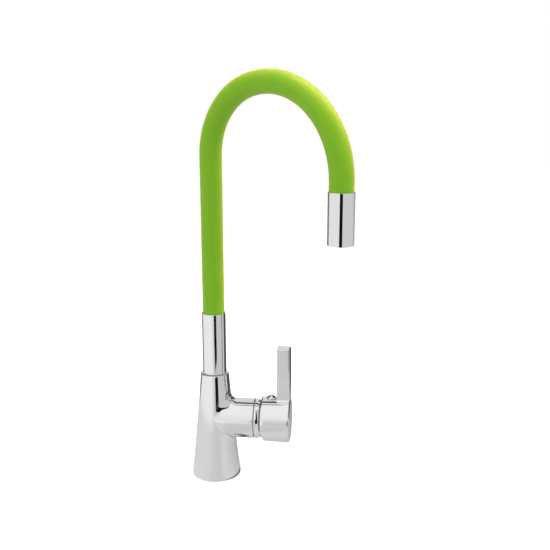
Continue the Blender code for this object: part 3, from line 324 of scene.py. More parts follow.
def finish_material(colours, finish):
    """The material of a finish, made once; its colour is the setting of the same name."""
    if finish == "silicone":
        return make_material("green_silicone_skin", RUBBERY, silicone_inputs, colours)
    if finish == "plug":
        return make_material("index_plug_finish", METAL, plug_inputs, colours)
    name, cloud, grain, shades, rough, bump, fixed, relief = FINISHES[finish]

    def varying(tree, colours):
        clouds, grains = tree.noise(*cloud), tree.noise(*grain)
        return {
            "Base Color": tree.shades(clouds, getattr(colours, finish), *shades),
            "Roughness": rough[0] + rough[1] * clouds + rough[2] * grains,
            "Normal": tree.bump(tree.noise(*relief) if relief else grains, *bump),
        }
    return make_material(name, fixed, varying, colours)


def make_material(name, fixed, varying, colours):
    """A Principled material: `fixed` sets constants, `varying` builds the changing sockets."""
    if name in bpy.data.materials:
        return bpy.data.materials[name]
    material, tree = new_surface(name)
    shader = tree.node("ShaderNodeBsdfPrincipled", None, fixed | varying(tree, colours), "BSDF")
    tree.node("ShaderNodeOutputMaterial", None, {"Surface": shader})
    return material


def new_surface(name):
    """An empty material and its tree."""
    material = bpy.data.materials.new(name)
    material.use_nodes = True
    return material, Tree(material.node_tree)


def plug_inputs(tree, colours):
    """Plating with dark reflections painted into its colour on each side of the domed plug's top.
    """
    haze = tree.noise(38, 2)
    aside = tree.place()
    front = aside.output("Y")
    aside = aside - PLUG_PLACE
    out = (aside * aside + front * front).math("SQRT")
    side = aside.math("ABSOLUTE") / out.at_least(0.1 * MM)
    # Painted reflection: near-black lobes on each side of the plug's top, standing in for dark
    # things that the plating would mirror
    painted_reflection = (out.ramp(1.1 * MM, 1.6 * MM) * (1 - out.ramp(3.7 * MM, 4.2 * MM))
            * side.ramp(0.45, 0.8))
    plated = tree.shades(haze, colours.chrome, 0.975, 1.02)
    return {"Base Color": tree.mix_colour(painted_reflection, plated, (0.012, 0.012, 0.012)),
            "Roughness": 0.05 + 0.04 * haze}


def silicone_inputs(tree, colours):
    """Moulded silicone: a satin skin over a slightly translucent green."""
    speck = tree.noise(420, 2)
    tone = tree.shades(tree.noise(26, 3), colours.silicone, 0.94, 1.06)
    return {
        "Base Color": tree.mix_colour(speck * 0.12, tone, shade(colours.silicone, 0.80)),
        "Roughness": 0.45 + 0.08 * tree.noise(70, 2, (1.0, 1.0, 0.35)) + 0.05 * speck,
        "Normal": tree.bump(tree.noise(1500, 2), 0.22, 0.05),
    }


# Mesh helpers

def arm_frame(sizes):
    """Frame of the arm: x up, y towards the front, z out along the arm."""
    return Matrix.Translation((0, 0, sizes.arm_height)) @ Matrix(
        ((0, 0, 1, 0), (0, -1, 0, 0), (1, 0, 0, 0), (0, 0, 0, 1)))


def spout_frame(sizes):
    """Frame of the spout: its xz plane holds the hose at rest."""
    return Matrix.Rotation(sizes.spout_turn, 4, "Z")


def outlet_frame(sizes):
    """Frame of the outlet's upright axis."""
    return spout_frame(sizes) @ Matrix.Translation((sizes.reach, 0, 0))


def mm(*points):
    """Points of an outline, given in millimetres."""
    return [tuple(value * MM for value in point) for point in points]


def band(inner, outer, low, high):
    """Outline of a plain ring."""
    return [(outer, low), (outer, high), (inner, high), (inner, low)]


def quarter(steps, first=0):
    """Angles that divide a right angle, from a step on."""
    return [math.pi / 2 * i / steps for i in range(first, steps + 1)]


def circle(radius, sides):
    return [(radius * math.cos(a), radius * math.sin(a))
            for a in (2 * math.pi * i / sides for i in range(sides))]


def strip(ring, following):
    """Faces that close the strip between two rings of the same count."""
    count = len(ring)
    return [(ring[i], ring[(i + 1) % count], following[(i + 1) % count], following[i])
            for i in range(count)]


def unit(way):
    """A direction with a length of 1."""
    return way / np.linalg.norm(way)


def rounded(corners, steps=EDGE_STEPS):
    """An outline of (first, second) corners; one with a radius after them becomes an arc."""
    outline = []
    for index, (first, second, *arc) in enumerate(corners):
        corner = np.array((first, second))
        if not any(arc):
            outline.append(tuple(corner))
            continue
        radius = arc[0]
        before, after = (unit(np.array(corners[(index + step) % len(corners)][:2]) - corner)
                         for step in (-1, 1))
        half = math.acos(float(np.clip(before @ after, -1, 1))) / 2
        centre = corner + unit(before + after) * radius / math.sin(half)
        turn, end = (math.atan2(*(corner + way * radius / math.tan(half) - centre)[::-1])
                     for way in (before, after))
        sweep = (end - turn + math.pi) % (2 * math.pi) - math.pi
        outline += [(centre[0] + radius * math.cos(turn + sweep * step / steps),
                     centre[1] + radius * math.sin(turn + sweep * step / steps))
                    for step in range(steps + 1)]
    return outline


def new_mesh(name, verts, faces, place=None):
    """A closed mesh with its doubles merged and its faces turned outwards, in place."""
    bm = bmesh.new()
    corners = [bm.verts.new(vert) for vert in verts]
    for face in faces:
        bm.faces.new([corners[index] for index in face])
    loose = [vert for vert in bm.verts if not vert.link_faces]
    bmesh.ops.delete(bm, geom=loose, context="VERTS")
    bmesh.ops.remove_doubles(bm, verts=bm.verts, dist=WELD)
    if place:
        bmesh.ops.transform(bm, matrix=place, verts=bm.verts)
    bmesh.ops.recalc_face_normals(bm, faces=bm.faces)
    mesh = bpy.data.meshes.new(name)
    bm.to_mesh(mesh)
    bm.free()
    return mesh


def new_object(name, data):
    """Link a mesh, lamp or camera into the scene under a name."""
    obj = bpy.data.objects.new(name, data)
    bpy.context.scene.collection.objects.link(obj)
    return obj


def lathe_mesh(name, outline, place=None, sides=FINE_SIDES):
    """Turn a closed outline of (radius, height) points; flat ends become single faces."""
    verts, rings, faces = [], [], []
    for radius, height in outline:
        start = len(verts)
        verts += [(x, y, height) for x, y in
                  (circle(radius, sides) if radius > WELD else [(0, 0)])]
        rings.append(list(range(start, len(verts))))
    for ring, following in zip(rings, rings[1:] + rings[:1]):
        hub, rim = sorted((ring, following), key=len)
        if len(hub) > 1:
            faces += strip(ring, following)
        elif len(rim) > 1 and abs(verts[hub[0]][2] - verts[rim[0]][2]) < WELD:
            faces.append(rim)
        elif len(rim) > 1:
            faces += [(hub[0], rim[i], rim[(i + 1) % sides]) for i in range(sides)]
    return new_mesh(name, verts, faces, place)


def pin_mesh(name, start, end, radius, place=Matrix.Identity(4), sides=DRILL_SIDES):
    """A plain round cutter between two points."""
    start, end = Vector(start), Vector(end)
    along = end - start
    turn = Matrix.Translation(start) @ along.to_track_quat("Z", "Y").to_matrix().to_4x4()
    return lathe_mesh(name, [(0, 0), (radius, 0), (radius, along.length), (0, along.length)],
                      place @ turn, sides)


def block_mesh(name, low, high, place):
    """A plain box cutter between two corners."""
    verts = [(x, y, z) for x in (low[0], high[0]) for y in (low[1], high[1])
             for z in (low[2], high[2])]
    faces = ((0, 1, 3, 2), (4, 6, 7, 5), (0, 4, 5, 1), (2, 3, 7, 6), (0, 2, 6, 4), (1, 5, 7, 3))
    return new_mesh(name, verts, faces, place)


def carve(obj, *cutter_meshes):
    """Cut each mesh out of a piece and keep the result as its plain mesh."""
    cutters = []
    for mesh in cutter_meshes:
        cutter = new_object(mesh.name, mesh)
        modifier = obj.modifiers.new(mesh.name, "BOOLEAN")
        modifier.operation = "DIFFERENCE"
        modifier.solver = "EXACT"
        modifier.object = cutter
        cutters.append(cutter)
    bake(obj)
    for cutter in cutters:
        bpy.data.objects.remove(cutter)


def bake(obj):
    """Replace a piece's mesh by the result of its modifiers, and take these off."""
    graph = bpy.context.evaluated_depsgraph_get()
    mesh = bpy.data.meshes.new_from_object(obj.evaluated_get(graph), depsgraph=graph)
    obj.modifiers.clear()
    obj.data = mesh


def dress(obj, material, body, nodes):
    """Smooth a finished piece, give it its material and any one body, and hide its solids."""
    mesh = obj.data
    mesh.materials.clear()
    mesh.materials.append(material)
    mesh.shade_smooth()
    mesh.set_sharp_from_angle(angle=CREASE)
    weighted = obj.modifiers.new("even_shading", "WEIGHTED_NORMAL")
    weighted.keep_sharp = True
    bake(obj)
    if body:
        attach(obj, body)
    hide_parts(*nodes)


def turned(name, outline, place, colours, finish, body, node, sides=FINE_SIDES):
    """A turned piece, dressed to replace one solid."""
    piece = new_object(name, lathe_mesh(name, rounded(outline), place, sides))
    dress(piece, finish_material(colours, finish), body, [node])


def newton(points, field, passes=14, reach=0.02 * MM):
    """Move points along a field's slope until they lie on its zero surface."""
    for _ in range(passes):
        value = field(points)
        slope = np.stack([(field(points + step) - field(points - step)) / (2 * reach)
                          for step in np.eye(3) * reach], axis=1)
        size = np.maximum((slope ** 2).sum(axis=1), 0.2)
        points = points - slope * (value / size)[:, None]
    return points


def smooth_min(first, second, width):
    """Union of two distance fields with a fillet of the given width between them."""
    near = np.maximum(width - np.abs(first - second), 0) / np.maximum(width, WELD)
    return np.minimum(first, second) - near ** 2 * width / 4


def smooth_step(share):
    """A share from 0 to 1 that starts and ends gently."""
    return share * share * (3 - 2 * share)


class Quilt:
    """A mesh put together from rings and patches of points."""

    def __init__(self):
        self.verts = []
        self.faces = []

    def add(self, points):
        """Add points and return their indices."""
        start = len(self.verts)
        self.verts += [tuple(point) for point in points]
        return list(range(start, start + len(points)))

    def grow(self, ring, points):
        """Add a ring of the same count as the last one and close the strip between them."""
        following = self.add(points)
        self.faces += strip(ring, following)
        return following

    def stretch(self, ring, target, steps, field):
        """Grow a skin from a ring to just before a target, laid on a field's surface."""
        points = np.array([self.verts[i] for i in ring])
        for step in range(1, steps):
            share = step / steps
            ring = self.grow(ring, newton((1 - share) * points + share * target, field))
        return ring

    def lathe(self, outline, rows, columns):
        """Turned rings, with a window left open.

        `rows` are the first and last outline points of the window, `columns` its half width in
        facets about the first axis. The window's rim comes back as a loop of indices.
        """
        rings = [self.add([(x, y, height) for x, y in circle(radius, FINE_SIDES)])
                 for radius, height in outline]
        first, last = rows
        for row, (ring, following) in enumerate(zip(rings, rings[1:])):
            faces = strip(ring, following)
            self.faces += faces[columns:-columns] if first <= row < last else faces
        across = list(range(-columns, columns))
        rim = [rings[first][i] for i in across]
        rim += [rings[row][columns] for row in range(first, last)]
        rim += [rings[last][-i] for i in across]
        rim += [rings[row][-columns] for row in range(last, first, -1)]
        self.faces += [rings[0], rings[-1]]
        return rings, rim


# Body casting

def cone_radius(sizes, height):
    """Outside radius of the cone at a height, slightly drawn in half way up."""
    share = height / sizes.body_height
    return (sizes.base_radius + (sizes.top_radius - sizes.base_radius) * share
            - 4 * sizes.waist * share * (1 - share))


def arm_radius(sizes, along):
    """Outside radius of the arm at a distance from the cone's axis."""
    share = np.clip(along / (15 * MM), 0, 1)
    swell = sizes.arm_radius - sizes.arm_root_radius
    return sizes.arm_root_radius + swell * np.sin(math.pi / 2 * share)


def casting_field(sizes):
    """Distance-like field of cone and arm, with a fillet that is wider above and below."""
    crease, above, below, slant = 0.8, 6.2, 4.2, 0.995

    def field(points):
        x, y, z = points.T
        cone = (np.hypot(x, y) - cone_radius(sizes, z)) * slant
        up = z - sizes.arm_height
        across = np.hypot(y, up)
        lean = (up / np.maximum(across, WELD)) ** 2
        width = (crease + np.where(up > 0, above, below) * lean) * MM
        return smooth_min(cone, across - arm_radius(sizes, x), width)
    return field


def body_mesh(sizes):
    """Outside of the casting: turned cone, round arm and the filleted skin between them."""
    foot, lip = 0.5 * MM, 1.0 * MM
    low, high, columns = 36 * MM, 96 * MM, 42
    foot_rows, window_rows, top_rows = 24, 41, 14
    bottom = [(cone_radius(sizes, foot) - foot * (1 - math.cos(a)), foot - foot * math.sin(a))
              for a in reversed(quarter(EDGE_STEPS, 1))]
    side = [(cone_radius(sizes, z), z)
            for z in (*np.linspace(foot, low, foot_rows), *np.linspace(low, high, window_rows)[1:],
                      *np.linspace(high, sizes.body_height - lip, top_rows)[1:])]
    top = [(side[-1][0] - lip * (1 - math.cos(a)), sizes.body_height - lip + lip * math.sin(a))
           for a in quarter(EDGE_STEPS, 1)]
    first = len(bottom) + foot_rows - 1
    quilt = Quilt()
    _, ring = quilt.lathe(bottom + side + top, (first, first + window_rows - 1), columns)

    rim = np.array([quilt.verts[i] for i in ring])
    angles = np.arctan2(rim[:, 1], rim[:, 2] - sizes.arm_height)

    def arm_ring(along, radius):
        return np.stack([np.full_like(angles, along), radius * np.sin(angles),
                         sizes.arm_height + radius * np.cos(angles)], axis=1)

    start, skin_steps, straight_rows, edge_steps = 30 * MM, 26, 9, 4
    ring = quilt.stretch(ring, arm_ring(start, sizes.arm_radius), skin_steps,
                         casting_field(sizes))
    edge, end = 0.7 * MM, sizes.arm_reach - 0.2 * MM
    rows = [(x, sizes.arm_radius) for x in np.linspace(start, end - edge, straight_rows)]
    rows += [(end - edge + edge * math.sin(a), sizes.arm_radius - edge + edge * math.cos(a))
             for a in quarter(edge_steps, 1)]
    for row in rows:
        ring = quilt.grow(ring, arm_ring(*row))
    quilt.faces.append(ring)
    return new_mesh("body_casting", quilt.verts, quilt.faces)


def make_body(sizes, colours):
    """The casting with its bores, replacing the plain solid."""
    body = new_object("body_casting", body_mesh(sizes))
    mouth, top = sizes.arm_reach + OVERRUN, sizes.body_height + OVERRUN
    nut_radius, spout_radius, way_radius = 19.2 * MM, 9.0 * MM, 3 * MM
    spout_floor, port_place, port_depth = 92 * MM, 8 * MM, 21 * MM
    mixed_height, inlet_height, inlet_place = 74.3 * MM, 60.3 * MM, -3 * MM
    cutters = [
        lathe_mesh("cartridge_bore", mm((0, 17), (17.6, 17), (17.6, 38), (19.2, 38))
                   + [(nut_radius, mouth), (0, mouth)], arm_frame(sizes), BORE_SIDES),
        lathe_mesh("spout_bore", [(0, spout_floor), (spout_radius, spout_floor)]
                   + mm((9, 105.9), (10.4, 105.9), (10.4, 108.3), (9, 108.3))
                   + [(spout_radius, top), (0, top)], None, BORE_SIDES),
        lathe_mesh("core_pocket", band(14.5 * MM, 18.4 * MM, -OVERRUN, 37 * MM), None,
                   BORE_SIDES),
        lathe_mesh("seal_groove", band(20.1 * MM, 24.3 * MM, -OVERRUN, 2.3 * MM), None,
                   BORE_SIDES),
        pin_mesh("stud_bore", (8.4 * MM, 0, -OVERRUN), (8.4 * MM, 0, 18 * MM), 3.4 * MM),
        pin_mesh("mixed_riser", (0, 0, mixed_height - way_radius),
                 (0, 0, spout_floor + OVERRUN), way_radius),
        pin_mesh("mixed_crossing", (0, 0, mixed_height), (port_depth, 0, mixed_height),
                 way_radius),
    ]
    for side, name in ((-port_place, "cold"), (port_place, "hot")):
        for title, start, end, radius in (
                ("thread", -OVERRUN, 14 * MM, 4.3 * MM),
                ("riser", 10 * MM, inlet_height + way_radius, way_radius)):
            cutters.append(pin_mesh(f"{name}_{title}", (inlet_place, side, start),
                                    (inlet_place, side, end), radius))
        cutters.append(pin_mesh(f"{name}_crossing", (inlet_place, side, inlet_height),
                                (port_depth, side, inlet_height), way_radius))
    carve(body, *cutters)
    dress(body, finish_material(colours, "chrome"), "body", ["faucet_body"])


# Rings, sleeves and seals

def make_rings(sizes, colours):
    """Cover ring, washer, neck sleeve, outlet sleeve and base seal, each finely turned."""
    back, front = sizes.arm_reach + 0.5 * MM, sizes.cover_front + 1.5 * MM
    dome, shoulder, dome_steps = 12.0 * MM, back + 0.9 * MM, 10
    sweep = math.asin((sizes.cover_front - shoulder) / dome)
    cover = [(19.2 * MM, back), (sizes.arm_radius, back, 0.7 * MM)]
    cover += [(sizes.arm_radius - dome + dome * math.cos(a), shoulder + dome * math.sin(a))
              for a in (sweep * i / dome_steps for i in range(dome_steps + 1))]
    cover += [(20.4 * MM, front), (18.4 * MM, front, 0.3 * MM), *mm((18.4, 46.6), (19.2, 46.6))]
    turned("arm_cover_ring", cover, arm_frame(sizes), colours, "chrome", "body", "cover_ring")

    bottom, top, rim, wall = 118.2 * MM, sizes.neck_top, sizes.neck_radius, 0.7 * MM
    shelf, bore = 151.7 * MM, 10.5 * MM
    neck = [(bore, bottom), (rim, bottom, 0.3 * MM), (rim, top, 0.3 * MM),
            (rim - wall, top, 0.15 * MM), (rim - wall, shelf), (bore, shelf)]
    turned("chrome_neck", neck, spout_frame(sizes), colours, "chrome", "spout", "neck_sleeve")

    bottom, top, rim, wall = sizes.outlet_bottom, sizes.outlet_top, sizes.outlet_radius, 0.6 * MM
    outlet = [(rim - wall, bottom, 0.15 * MM), (rim, bottom, 0.25 * MM), (rim, top, 0.25 * MM),
              (rim - wall, top, 0.15 * MM)]
    turned("chrome_outlet", outlet, outlet_frame(sizes), colours, "chrome", "outlet",
           "outlet_sleeve")

    washer = mm((9.3, 117.3), (12.2, 117.3, 0.15), (12.2, 117.9, 0.15), (9.3, 117.9))
    turned("neck_washer", washer, None, colours, "white_plastic", "body", "swivel_washer")

    seal = mm((20.4, 0, 0.4), (24, 0, 0.4), (24, 2, 0.3), (20.4, 2, 0.3))
    turned("underside_seal", seal, None, colours, "rubber", "body", "base_seal")


# Lever

def shell_radius(sizes, along):
    """Outside radius of the lever's shell, which widens from its mouth to its end."""
    start, stop = sizes.handle_start + 1.4 * MM, sizes.handle_end - 1.0 * MM
    share = np.clip((along - start) / (stop - start), 0, 1)
    return sizes.handle_radius + (sizes.handle_end_radius - sizes.handle_radius) * share


def handle_field(sizes):
    """Field of the round shell and the post in the arm's frame, with a fine fillet between."""
    edge, end = sizes.post_edge, sizes.handle_end
    bevel_blend, end_blend, fillet, fade_length = 0.5 * MM, 0.3 * MM, 1.6 * MM, 3 * MM

    def field(points):
        up, front, along = points.T
        over, past = np.hypot(up, front) - shell_radius(sizes, along), along - end
        bevel = (over * sizes.bevel_length + past * sizes.bevel_depth
                 + sizes.bevel_length * sizes.bevel_depth
                 ) / math.hypot(sizes.bevel_length, sizes.bevel_depth)
        shell = -smooth_min(-past, smooth_min(-over, -bevel, bevel_blend), end_blend)
        aside = along - (end - sizes.post_width / 2)
        wide = (np.maximum(-aside, aside + post_lean(sizes, front))
                - (post_half_width(sizes, up) - edge))
        deep = np.abs(front) - (sizes.post_depth / 2 - edge)
        post = (np.hypot(np.maximum(wide, 0), np.maximum(deep, 0))
                + np.minimum(np.maximum(wide, deep), 0) - edge)
        fade = np.clip((end - 0.1 * MM - along) / fade_length, 0, 1)
        return smooth_min(shell, post, fillet * smooth_step(fade))
    return field


def post_half_width(sizes, up):
    """Half the post's width along the arm, a little less at its top."""
    share = np.clip((up - sizes.handle_radius) / (sizes.post_rise - sizes.handle_radius), 0, 1)
    return sizes.post_width / 2 - 0.3 * MM * share


def post_lean(sizes, front):
    """How far the post's outer face draws back towards the front."""
    return 0.8 * MM * (front / sizes.post_depth + 0.5)


def post_ring(sizes, up, columns, rows, inset=0.0, arc_steps=4):
    """Points round the post at a height, matched in count to the shell's window."""
    half = float(post_half_width(sizes, up)) - inset
    depth = sizes.post_depth / 2 - inset
    edge = max(sizes.post_edge - 0.35 * inset, 0.05 * MM)
    middle = sizes.handle_end - sizes.post_width / 2
    corners = [(middle - half + edge, -depth + edge, 225, columns),
               (middle - half + edge, depth - edge, 135, rows),
               (middle + half - edge - post_lean(sizes, depth), depth - edge, 45, columns),
               (middle + half - edge - post_lean(sizes, -depth), -depth + edge, -45, rows)]

    def on_edge(corner, degrees):
        a = math.radians(degrees)
        return np.array((corner[0] + edge * math.cos(a), corner[1] + edge * math.sin(a)))

    points = []
    for index, corner in enumerate(corners):
        following = corners[(index + 1) % 4]
        start, straight = corner[2], corner[3] - 2 * arc_steps
        points += [on_edge(corner, start - 45 * i / arc_steps) for i in range(arc_steps)]
        begin, stop = on_edge(corner, start - 45), on_edge(following, start - 45)
        points += [begin + (stop - begin) * i / straight for i in range(straight)]
        points += [on_edge(following, start - 45 - 45 * i / arc_steps)
                   for i in range(arc_steps)]
    return np.array([(up, front, along) for along, front in points])


def handle_mesh(sizes):
    """Lever in one skin: hollow round shell, hub, and the post that grows out of it."""
    start, end, radius = sizes.handle_start, sizes.handle_end, sizes.handle_radius
    floor, bore, rim, lip = end - 4 * MM, radius - 1.7 * MM, 2.4 * MM, 1.4 * MM
    brow, window, wide = 2.2 * MM, 65 * MM, sizes.handle_end_radius
    hub, hub_start, proud = 7.2 * MM, 57.8 * MM, 0.1 * MM
    inside = [(hub, hub_start), (hub, floor), (bore, floor), (bore, start)]
    mouth = [(radius - lip + lip * math.sin(a), start + brow - brow * math.cos(a))
             for a in quarter(10)]
    plain = [(shell_radius(sizes, h), h) for h in np.linspace(start + brow, window, 12)][1:]
    under = [(shell_radius(sizes, h), h) for h in np.linspace(window, end - rim, 14)][1:]
    field = handle_field(sizes)
    bevel = np.array([(0, wide - sizes.bevel_depth * share + proud,
                       end - sizes.bevel_length * (1 - share) + proud)
                      for share in (-0.4, -0.15, 0, 0.1, 0.2, 0.4, 0.6, 0.8, 1.0, 1.1)])
    bend = [(front, along) for _, front, along in newton(bevel, field)]
    face = [(wide - 4.5 * MM, end), (wide - 5.0 * MM, end)]
    first, rows, columns = len(inside + mouth + plain) - 1, len(under + bend + face), 12
    quilt = Quilt()
    rings, ring = quilt.lathe(inside + mouth + plain + under + bend + face,
                              (first, first + rows), columns)

    # The mouth is cut back below, so that the lifted lever clears the arm
    relief_start, relief_fade = 8 * MM, 6 * MM
    for i in sum(rings[len(inside) - 1:first], []):
        up, front, along = quilt.verts[i]
        below = min(max((-up - relief_start) / relief_fade, 0), 1)
        left = min((window - along) / (window - start - brow), 1)
        quilt.verts[i] = (up, front, along + sizes.mouth_relief * smooth_step(below) * left)

    foot, skin_steps, post_rows = radius + 7 * MM, 18, 9
    ring = quilt.stretch(ring, post_ring(sizes, foot, 2 * columns, rows), skin_steps, field)
    edge = sizes.post_crown
    levels = [(up, 0.0) for up in np.linspace(foot, sizes.post_rise - edge, post_rows)]
    levels += [(sizes.post_rise - edge + edge * math.sin(a), edge * (1 - math.cos(a)))
               for a in quarter(EDGE_STEPS, 1)]
    for up, inset in levels:
        ring = quilt.grow(ring, post_ring(sizes, up, 2 * columns, rows, inset))
    quilt.faces.append(ring)
    return new_mesh("lever", quilt.verts, quilt.faces, arm_frame(sizes))


def make_handle(sizes, colours):
    """The lever with its stem socket and screw hole, and the domed plug over the hole."""
    arm, radius = arm_frame(sizes), sizes.handle_radius
    lever = new_object("lever", handle_mesh(sizes))
    outside = (radius + OVERRUN, 0, PLUG_PLACE)
    carve(lever,
          block_mesh("stem_socket", *mm((-4.3, -4.1, 53), (4.3, 4.1, 66.3)), arm),
          pin_mesh("plug_seat", (radius - 0.9 * MM, 0, PLUG_PLACE), outside, 5.0 * MM, arm,
                   BORE_SIDES),
          pin_mesh("key_hole", (0, 0, PLUG_PLACE), outside, 2.7 * MM, arm))
    dress(lever, finish_material(colours, "chrome"), "handle", ["lever_handle"])

    base, head = (sizes.arm_height + radius + rise * MM for rise in (-0.6, 1.5))
    wall, spigot, dimple = 4.7 * MM, 2.4 * MM, 0.8 * MM
    button = [(0, base - 3 * MM), (spigot, base - 3 * MM), (spigot, base), (wall, base),
              (wall, head - 0.3 * MM), (wall - 0.1 * MM, head - 0.1 * MM)]
    button += [(out, head + rise) for out, rise in
               mm((4.4, 0), (4.2, 0.12), (3.6, 0.62), (3, 1.1), (2.5, 1.45), (2, 1.7),
                  (1.6, 1.8), (1.1, 1.84))]
    button += [(dimple, head + 1.7 * MM), (dimple * 0.7, head + 0.6 * MM), (0, head + 0.6 * MM)]
    turned("screw_plug", button, Matrix.Translation((PLUG_PLACE, 0, 0)), colours, "plug",
           "handle", "index_plug", BORE_SIDES)


# Hose

def hose_stretches(sizes):
    """Lengths and turns of the hose's centre line: up, over in two bends, and down."""
    back, turn = sizes.back_radius, sizes.back_turn
    front = (sizes.reach - back * (1 - math.cos(turn))) / (1 + math.cos(turn))
    crown_end = sizes.spring_height + (back - front) * math.sin(turn)
    return ((sizes.spring_height - sizes.hose_seat, 0), (back * turn, turn),
            (front * (math.pi - turn), math.pi - turn), (crown_end - sizes.outlet_seat, 0))


def hose_point(sizes, distance):
    """Point and heading of the centre line at a distance from its lower seat."""
    x, z, heading, left = 0.0, sizes.hose_seat, 0.0, distance
    for stretch, turn in hose_stretches(sizes):
        step = min(left, stretch)
        if turn:
            radius = stretch / turn
            bend = step / radius
            x += radius * (math.cos(heading) - math.cos(heading + bend))
            z += radius * (math.sin(heading + bend) - math.sin(heading))
            heading += bend
        else:
            x += step * math.sin(heading)
            z += step * math.cos(heading)
        left -= step
    way = Vector((math.sin(heading), 0, math.cos(heading)))
    place = spout_frame(sizes)
    return place @ Vector((x, 0, z)), place.to_3x3() @ way


def new_group(name, settings):
    """A Geometry Nodes tree that takes a geometry, some settings and a material."""
    group = bpy.data.node_groups.new(name, "GeometryNodeTree")
    kinds = {float: "Float", int: "Int", tuple: "Vector"}
    sockets = [("Geometry", "INPUT", "Geometry", None)]
    sockets += [(title, "INPUT", kinds[type(value)], value) for title, value in settings.items()]
    sockets += [("Material", "INPUT", "Material", None), ("Geometry", "OUTPUT", "Geometry", None)]
    for title, way, kind, default in sockets:
        socket = group.interface.new_socket(title, in_out=way, socket_type=f"NodeSocket{kind}")
        if default is not None:
            socket.default_value = default
    tree = Tree(group)
    return tree, tree.node("NodeGroupInput")


def end_group(tree, given, geometry):
    """End a Geometry Nodes tree with real geometry in its material."""
    solid = tree.node("GeometryNodeRealizeInstances", None, {"Geometry": geometry})
    painted = tree.node("GeometryNodeSetMaterial", None,
                        {"Geometry": solid, "Material": given.output("Material")})
    tree.node("NodeGroupOutput", None, {"Geometry": painted})
    return tree.tree


def layer_tree():
    """Geometry Nodes tree that sweeps a pipe's outer and inner wall along a curve."""
    tree, given = new_group("hose_layer", {
        "Radius": 0.0115, "Wall": 0.0028, "From": 0.0, "To": 0.1, "Rows": 40, "Sides": 48,
        "Rib Depth": 0.0, "Rib Pitch": 0.004, "Across": (0, 1, 0)})
    rows, sides = given.output("Rows"), given.output("Sides")
    start, across = given.output("From"), given.output("Across")
    span = given.output("To") - start

    grid = tree.node("GeometryNodeMeshGrid", None,
                     {"Vertices X": rows * 2 + 1, "Vertices Y": sides + 1})
    index = tree.node("GeometryNodeInputIndex")
    row = (index / (sides + 1)).math("FLOOR")
    column = index - row * (sides + 1)
    station = row.at_most((rows * 2 - 1 - row).at_least(0))
    outer = ((row < rows) + (row > rows * 2 - 0.5)).at_most(1)

    # The first and last row stand close to the ends, so that neighbouring pieces meet flush
    share = (station - 1) / (rows - 3)
    tuck = 0.2 * MM / span
    along = (share.at_least(0).at_most(1) * (1 - 2 * tuck) + tuck
             - tuck * (share < 0) + tuck * (share > 1.0001))
    distance = start + span * along
    curve = tree.node("GeometryNodeMeshToCurve", None, {"Mesh": given.output("Geometry")})
    line = tree.node("GeometryNodeSampleCurve", {"mode": "LENGTH", "use_all_curves": False},
                     {"Curves": curve, "Length": distance}, "Position")
    outward = tree.vector("CROSS_PRODUCT", across, line.output("Tangent"))
    turn = column / sides * (2 * math.pi)
    rib = distance / given.output("Rib Pitch") * (2 * math.pi)
    hollow = (1 - rib.math("COSINE")) * 0.5 * given.output("Rib Depth")
    radius = given.output("Radius") - hollow
    radius = radius - (1 - outer) * (given.output("Wall") - hollow)
    offset = tree.vector("ADD", *(
        tree.vector("SCALE", axis, turn.math(operation) * radius, "Scale")
        for operation, axis in (("COSINE", outward), ("SINE", across))))
    moved = tree.node("GeometryNodeSetPosition", None,
                      {"Geometry": grid, "Position": tree.vector("ADD", line, offset)})
    merged = tree.node("GeometryNodeMergeByDistance", None, {"Geometry": moved, "Distance": WELD})
    return end_group(tree, given, merged)


def run_nodes(obj, group, values):
    """Run a Geometry Nodes tree on a piece and keep the result as a closed outward mesh."""
    modifier = obj.modifiers.new(group.name, "NODES")
    modifier.node_group = group
    for item in group.interface.items_tree:
        if item.item_type == "SOCKET" and item.in_out == "INPUT" and item.name in values:
            modifier[item.identifier] = values[item.name]
    bake(obj)
    bm = bmesh.new()
    bm.from_mesh(obj.data)
    bmesh.ops.recalc_face_normals(bm, faces=bm.faces)
    if bm.calc_volume(signed=True) < 0:
        bmesh.ops.reverse_faces(bm, faces=bm.faces)
    bm.to_mesh(obj.data)
    bm.free()


